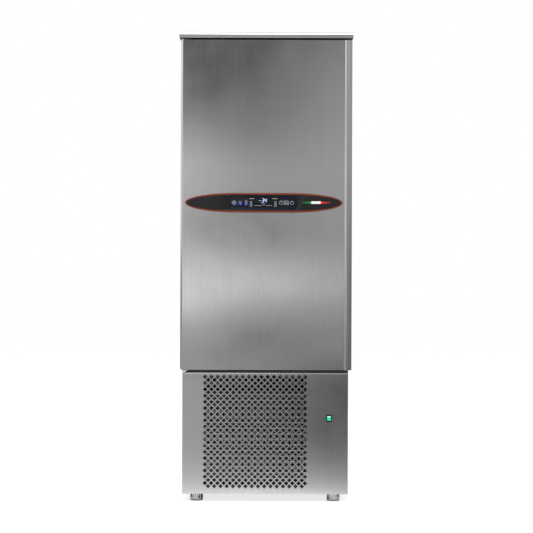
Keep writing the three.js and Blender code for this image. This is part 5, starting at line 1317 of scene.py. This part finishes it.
def staged(name, points, faces, paint, mirrored_only=False):
    """A part of the studio: a mesh of these faces. A mirrored-only one shows in reflections alone."""
    mesh = bpy.data.meshes.new(name)
    mesh.from_pydata(points, [], faces)
    mesh.materials.append(paint)
    made = bpy.data.objects.new(name, mesh)
    bpy.context.scene.collection.objects.link(made)
    if mirrored_only:
        made.visible_camera = made.visible_diffuse = made.visible_transmission = False
        made.visible_volume_scatter = made.visible_shadow = False


def glowing(name, shade):
    """A material that only gives off light: `shade` makes its colour from the new node tree."""
    paint = bpy.data.materials.new(name)
    paint.use_nodes = True
    tree = paint.node_tree
    tree.nodes.clear()
    glow = node_of(tree, "Emission", {"Color": shade(tree), "Strength": 1.0})
    node_of(tree, "OutputMaterial", {"Surface": glow.outputs[0]})
    return paint


def world():
    """An even white surround: full strength where it is seen or mirrored, dimmer where it lights things."""
    scene = bpy.context.scene
    scene.world = bpy.data.worlds.new("studio_world")
    scene.world.use_nodes = True
    tree = scene.world.node_tree
    tree.nodes.clear()
    inputs = {"Value": seen_or_mirrored(tree), "To Min": 0.6, "To Max": 1.0}
    level = node_of(tree, "MapRange", inputs).outputs[0]
    sky = node_of(tree, "Background", {"Color": (1, 1, 1, 1), "Strength": level})
    node_of(tree, "OutputWorld", {"Surface": sky.outputs[0]})
    scene.world.cycles.sampling_method = "NONE"


def floor():
    """A wide grey floor that is lifted to white where it is seen, so that it keeps the object's shadow."""
    paint = bpy.data.materials.new("floor_paint")
    paint.use_nodes = True
    tree = paint.node_tree
    shader = tree.nodes["Principled BSDF"]
    shader.inputs["Base Color"].default_value = grey(0.36)
    shader.inputs["Roughness"].default_value = 1.0
    shader.inputs["Specular IOR Level"].default_value = 0.0
    shader.inputs["Emission Color"].default_value = (1, 1, 1, 1)
    share = node_of(tree, "Math", {0: seen_or_mirrored(tree), 1: 0.78}, operation="MULTIPLY").outputs[0]
    tree.links.new(share, shader.inputs["Emission Strength"])
    reach = 40.0
    corners = [(-reach, -reach, 0), (reach, -reach, 0), (reach, reach, 0), (-reach, reach, 0)]
    staged("studio_floor", corners, [(0, 1, 2, 3)], paint)


# The light levels of the studio's cards, as the steel mirrors them. Each column stands at one x and has stops
# of (height in metres, grey). Below 0 the height counts how far the card on the floor reaches inwards from
# the ring. A pale band at 1 m and a dark one at 2.3 m give the sheet its two broad gradients.
CARD_RADIUS, CARD_TOP, CARD_INNER = 2.2, 3.5, 0.6
CARD_COLUMNS = [
    (-0.9, [
        (-1.6, 0.9), (-0.5, 0.5), (0.3, 0.35), (0.65, 0.35), (0.95, 0.4), (1.3, 0.75), (2, 0.8), (2.3, 0.95),
        (3.5, 1),
    ]),
    (-0.5, [
        (-1.6, 1), (-1.1, 0.7), (-0.4, 0.5), (0.1, 0.45), (0.3, 0.5), (0.65, 0.3), (0.87, 1), (1.08, 1),
        (1.2, 0.4), (1.35, 0.4), (1.55, 0.75), (2.08, 0.1), (2.3, 0.03), (2.6, 0.03), (2.8, 0.4), (3.35, 0.6),
        (3.5, 0.9),
    ]),
    (-0.05, [
        (-1.6, 0.9), (-1.1, 0.55), (-0.4, 0.35), (0.1, 0.3), (0.5, 0.35), (0.6, 0.2), (0.76, 0.2), (0.97, 1),
        (1.2, 0.2), (1.35, 0.25), (1.55, 0.5), (1.8, 0.25), (2.3, 0.1), (2.8, 0.4), (3.35, 0.6), (3.5, 0.9),
    ]),
    (0.45, [
        (-1.6, 0.8), (-1.1, 0.45), (-0.4, 0.25), (0.1, 0.08), (0.45, 0.05), (0.6, 0.4), (0.75, 0.25),
        (0.97, 0.65), (1.2, 0.35), (1.55, 0.45), (2.1, 0.35), (2.5, 0.15), (2.8, 0.35), (3.35, 0.5),
        (3.5, 0.9),
    ]),
    (0.9, [(-1.6, 0.65), (-0.5, 0.3), (0.3, 0.15), (0.9, 0.3), (1.7, 0.4), (2.3, 0.5), (3, 0.5), (3.5, 1)]),
    (1.6, [(-1.6, 0.55), (-0.5, 0.2), (0.4, 0.15), (0.9, 0.2), (1.8, 0.4), (2.7, 0.4), (3.5, 0.9)]),
]


def card_shade(tree):
    """The cards' grey: each column's ramp goes by z + (distance from the axis - ring radius), and the columns
    blend across x."""
    axes = node_of(tree, "SeparateXYZ", {0: node_of(tree, "TexCoord").outputs["Object"]})
    flat = node_of(tree, "CombineXYZ", {0: axes.outputs[0], 1: axes.outputs[1]})
    reach = node_of(tree, "VectorMath", {0: flat.outputs[0]}, operation="LENGTH").outputs["Value"]
    inwards = node_of(tree, "Math", {0: reach, 1: CARD_RADIUS}, operation="SUBTRACT").outputs[0]
    level = node_of(tree, "Math", {0: axes.outputs[2], 1: inwards}, operation="ADD").outputs[0]
    low = CARD_INNER - CARD_RADIUS
    height = node_of(tree, "MapRange", {"Value": level, "From Min": low, "From Max": CARD_TOP}).outputs[0]

    def column(stops):
        """A ramp with a stop for each of the column's heights."""
        ramp = node_of(tree, "ValToRGB", {0: height})
        ramp.color_ramp.interpolation = "EASE"
        elements = ramp.color_ramp.elements
        while len(elements) < len(stops):
            elements.new(1.0)
        for element, (z, level) in zip(elements, stops):
            element.position = (z - low) / (CARD_TOP - low)
            element.color = grey(level)
        return ramp.outputs[0]

    before, stops = CARD_COLUMNS[0]
    shade = column(stops)
    for x, stops in CARD_COLUMNS[1:]:
        inputs = {"Value": axes.outputs[0], "From Min": before, "From Max": x}
        share = node_of(tree, "MapRange", inputs, interpolation_type="SMOOTHSTEP").outputs[0]
        shade = node_of(tree, "Mix", {0: share, 6: shade, 7: column(stops)}, data_type="RGBA").outputs[2]
        before = x
    return shade


def cards():
    """A ring of cards round the object and a flat ring on the floor inside it, which only reflections see:
    (r cos a, r sin a, z) along a section of (r, z)."""
    section = np.array([(CARD_INNER, 0.003), (CARD_RADIUS, 0.003), (CARD_RADIUS, CARD_TOP)])
    a = np.linspace(0, 2 * np.pi, 96, endpoint=False)
    radius, z = section[:, :1], section[:, 1:]
    points, faces = grid(np.stack([radius * np.cos(a), radius * np.sin(a), z + 0 * a], -1), wrap_v=True)
    staged("studio_cards", points.tolist(), faces, glowing("card_grey", card_shade), mirrored_only=True)


def floor_cards():
    """Dark cards on the floor under the cabinet and beside its front feet that only reflections see, for the
    shade that lies there: flat rectangles (x0, y0) to (x1, y1)."""
    rectangles = [
        (-0.56, -0.17, 0.56, 0.6), (-0.25, -0.4, 0.12, -0.17), (-0.56, -0.36, -0.42, -0.17),
        (0.42, -0.36, 0.56, -0.17), (0.16, -0.34, 0.24, -0.17),
    ]
    corners, z = [], 0.002
    for x0, y0, x1, y1 in rectangles:
        corners += [(x0, y0, z), (x1, y0, z), (x1, y1, z), (x0, y1, z)]
    faces = [tuple(range(i, i + 4)) for i in range(0, len(corners), 4)]
    paint = glowing("card_dark", lambda tree: grey(0.08))
    staged("studio_floor_card", corners, faces, paint, mirrored_only=True)


def lamps():
    """Soft lamps, each turned so that its -Z axis points at the object's middle. Only the one overhead is
    mirrored in the steel."""
    for name, place, size, energy in (
        ("key_lamp", (-2.6, -3.6, 3.6), 2.6, 95),
        ("fill_lamp", (3.0, -3.2, 2.2), 2.4, 45),
        ("back_lamp", (0.6, 3.4, 3.8), 2.6, 60),
        ("top_lamp", (0, -1.7, 4.3), 2.2, 60),
    ):
        lamp = bpy.data.lights.new(name, "AREA")
        lamp.energy, lamp.size = energy, size
        if name == "top_lamp":
            lamp.shape, lamp.size_y = "RECTANGLE", 1.2
        made = bpy.data.objects.new(name, lamp)
        made.location = place
        aim = np.array([0, 0, 1.0]) - place
        tilt, heading = np.arccos(-aim[2] / np.linalg.norm(aim)), np.arctan2(aim[1], aim[0])
        made.rotation_euler = (tilt, 0, heading - np.pi / 2)
        made.visible_glossy = name == "top_lamp"
        bpy.context.scene.collection.objects.link(made)


def camera():
    """The photograph's viewpoint: level, 7.4 m in front and 1.065 m up, through a long lens."""
    lens = bpy.data.cameras.new("camera")
    lens.lens, lens.sensor_width = 105.7, 36
    made = bpy.data.objects.new("camera", lens)
    made.location = (0.004, -7.394, 1.065)
    made.rotation_euler = (np.pi / 2, np.radians(-0.2), 0)
    bpy.context.scene.collection.objects.link(made)
    bpy.context.scene.camera = made
    bpy.context.scene.view_settings.view_transform = "Standard"


for make in (
    door_skin, door_handle, door_liner, door_gasket, fascia_trim, fascia_plate, display_marks, stripe,
    top_cover, sheets, liner_room, back_panel_screws, rear_grille, cable_gland, feet, hinges, switch_bezel,
    rocker, racks, probe, fan_guards, condenser_coil, evaporator_coil, fans, compressor, receiver, drier,
    valve, lines, world, floor, cards, floor_cards, lamps, camera,
):
    make()
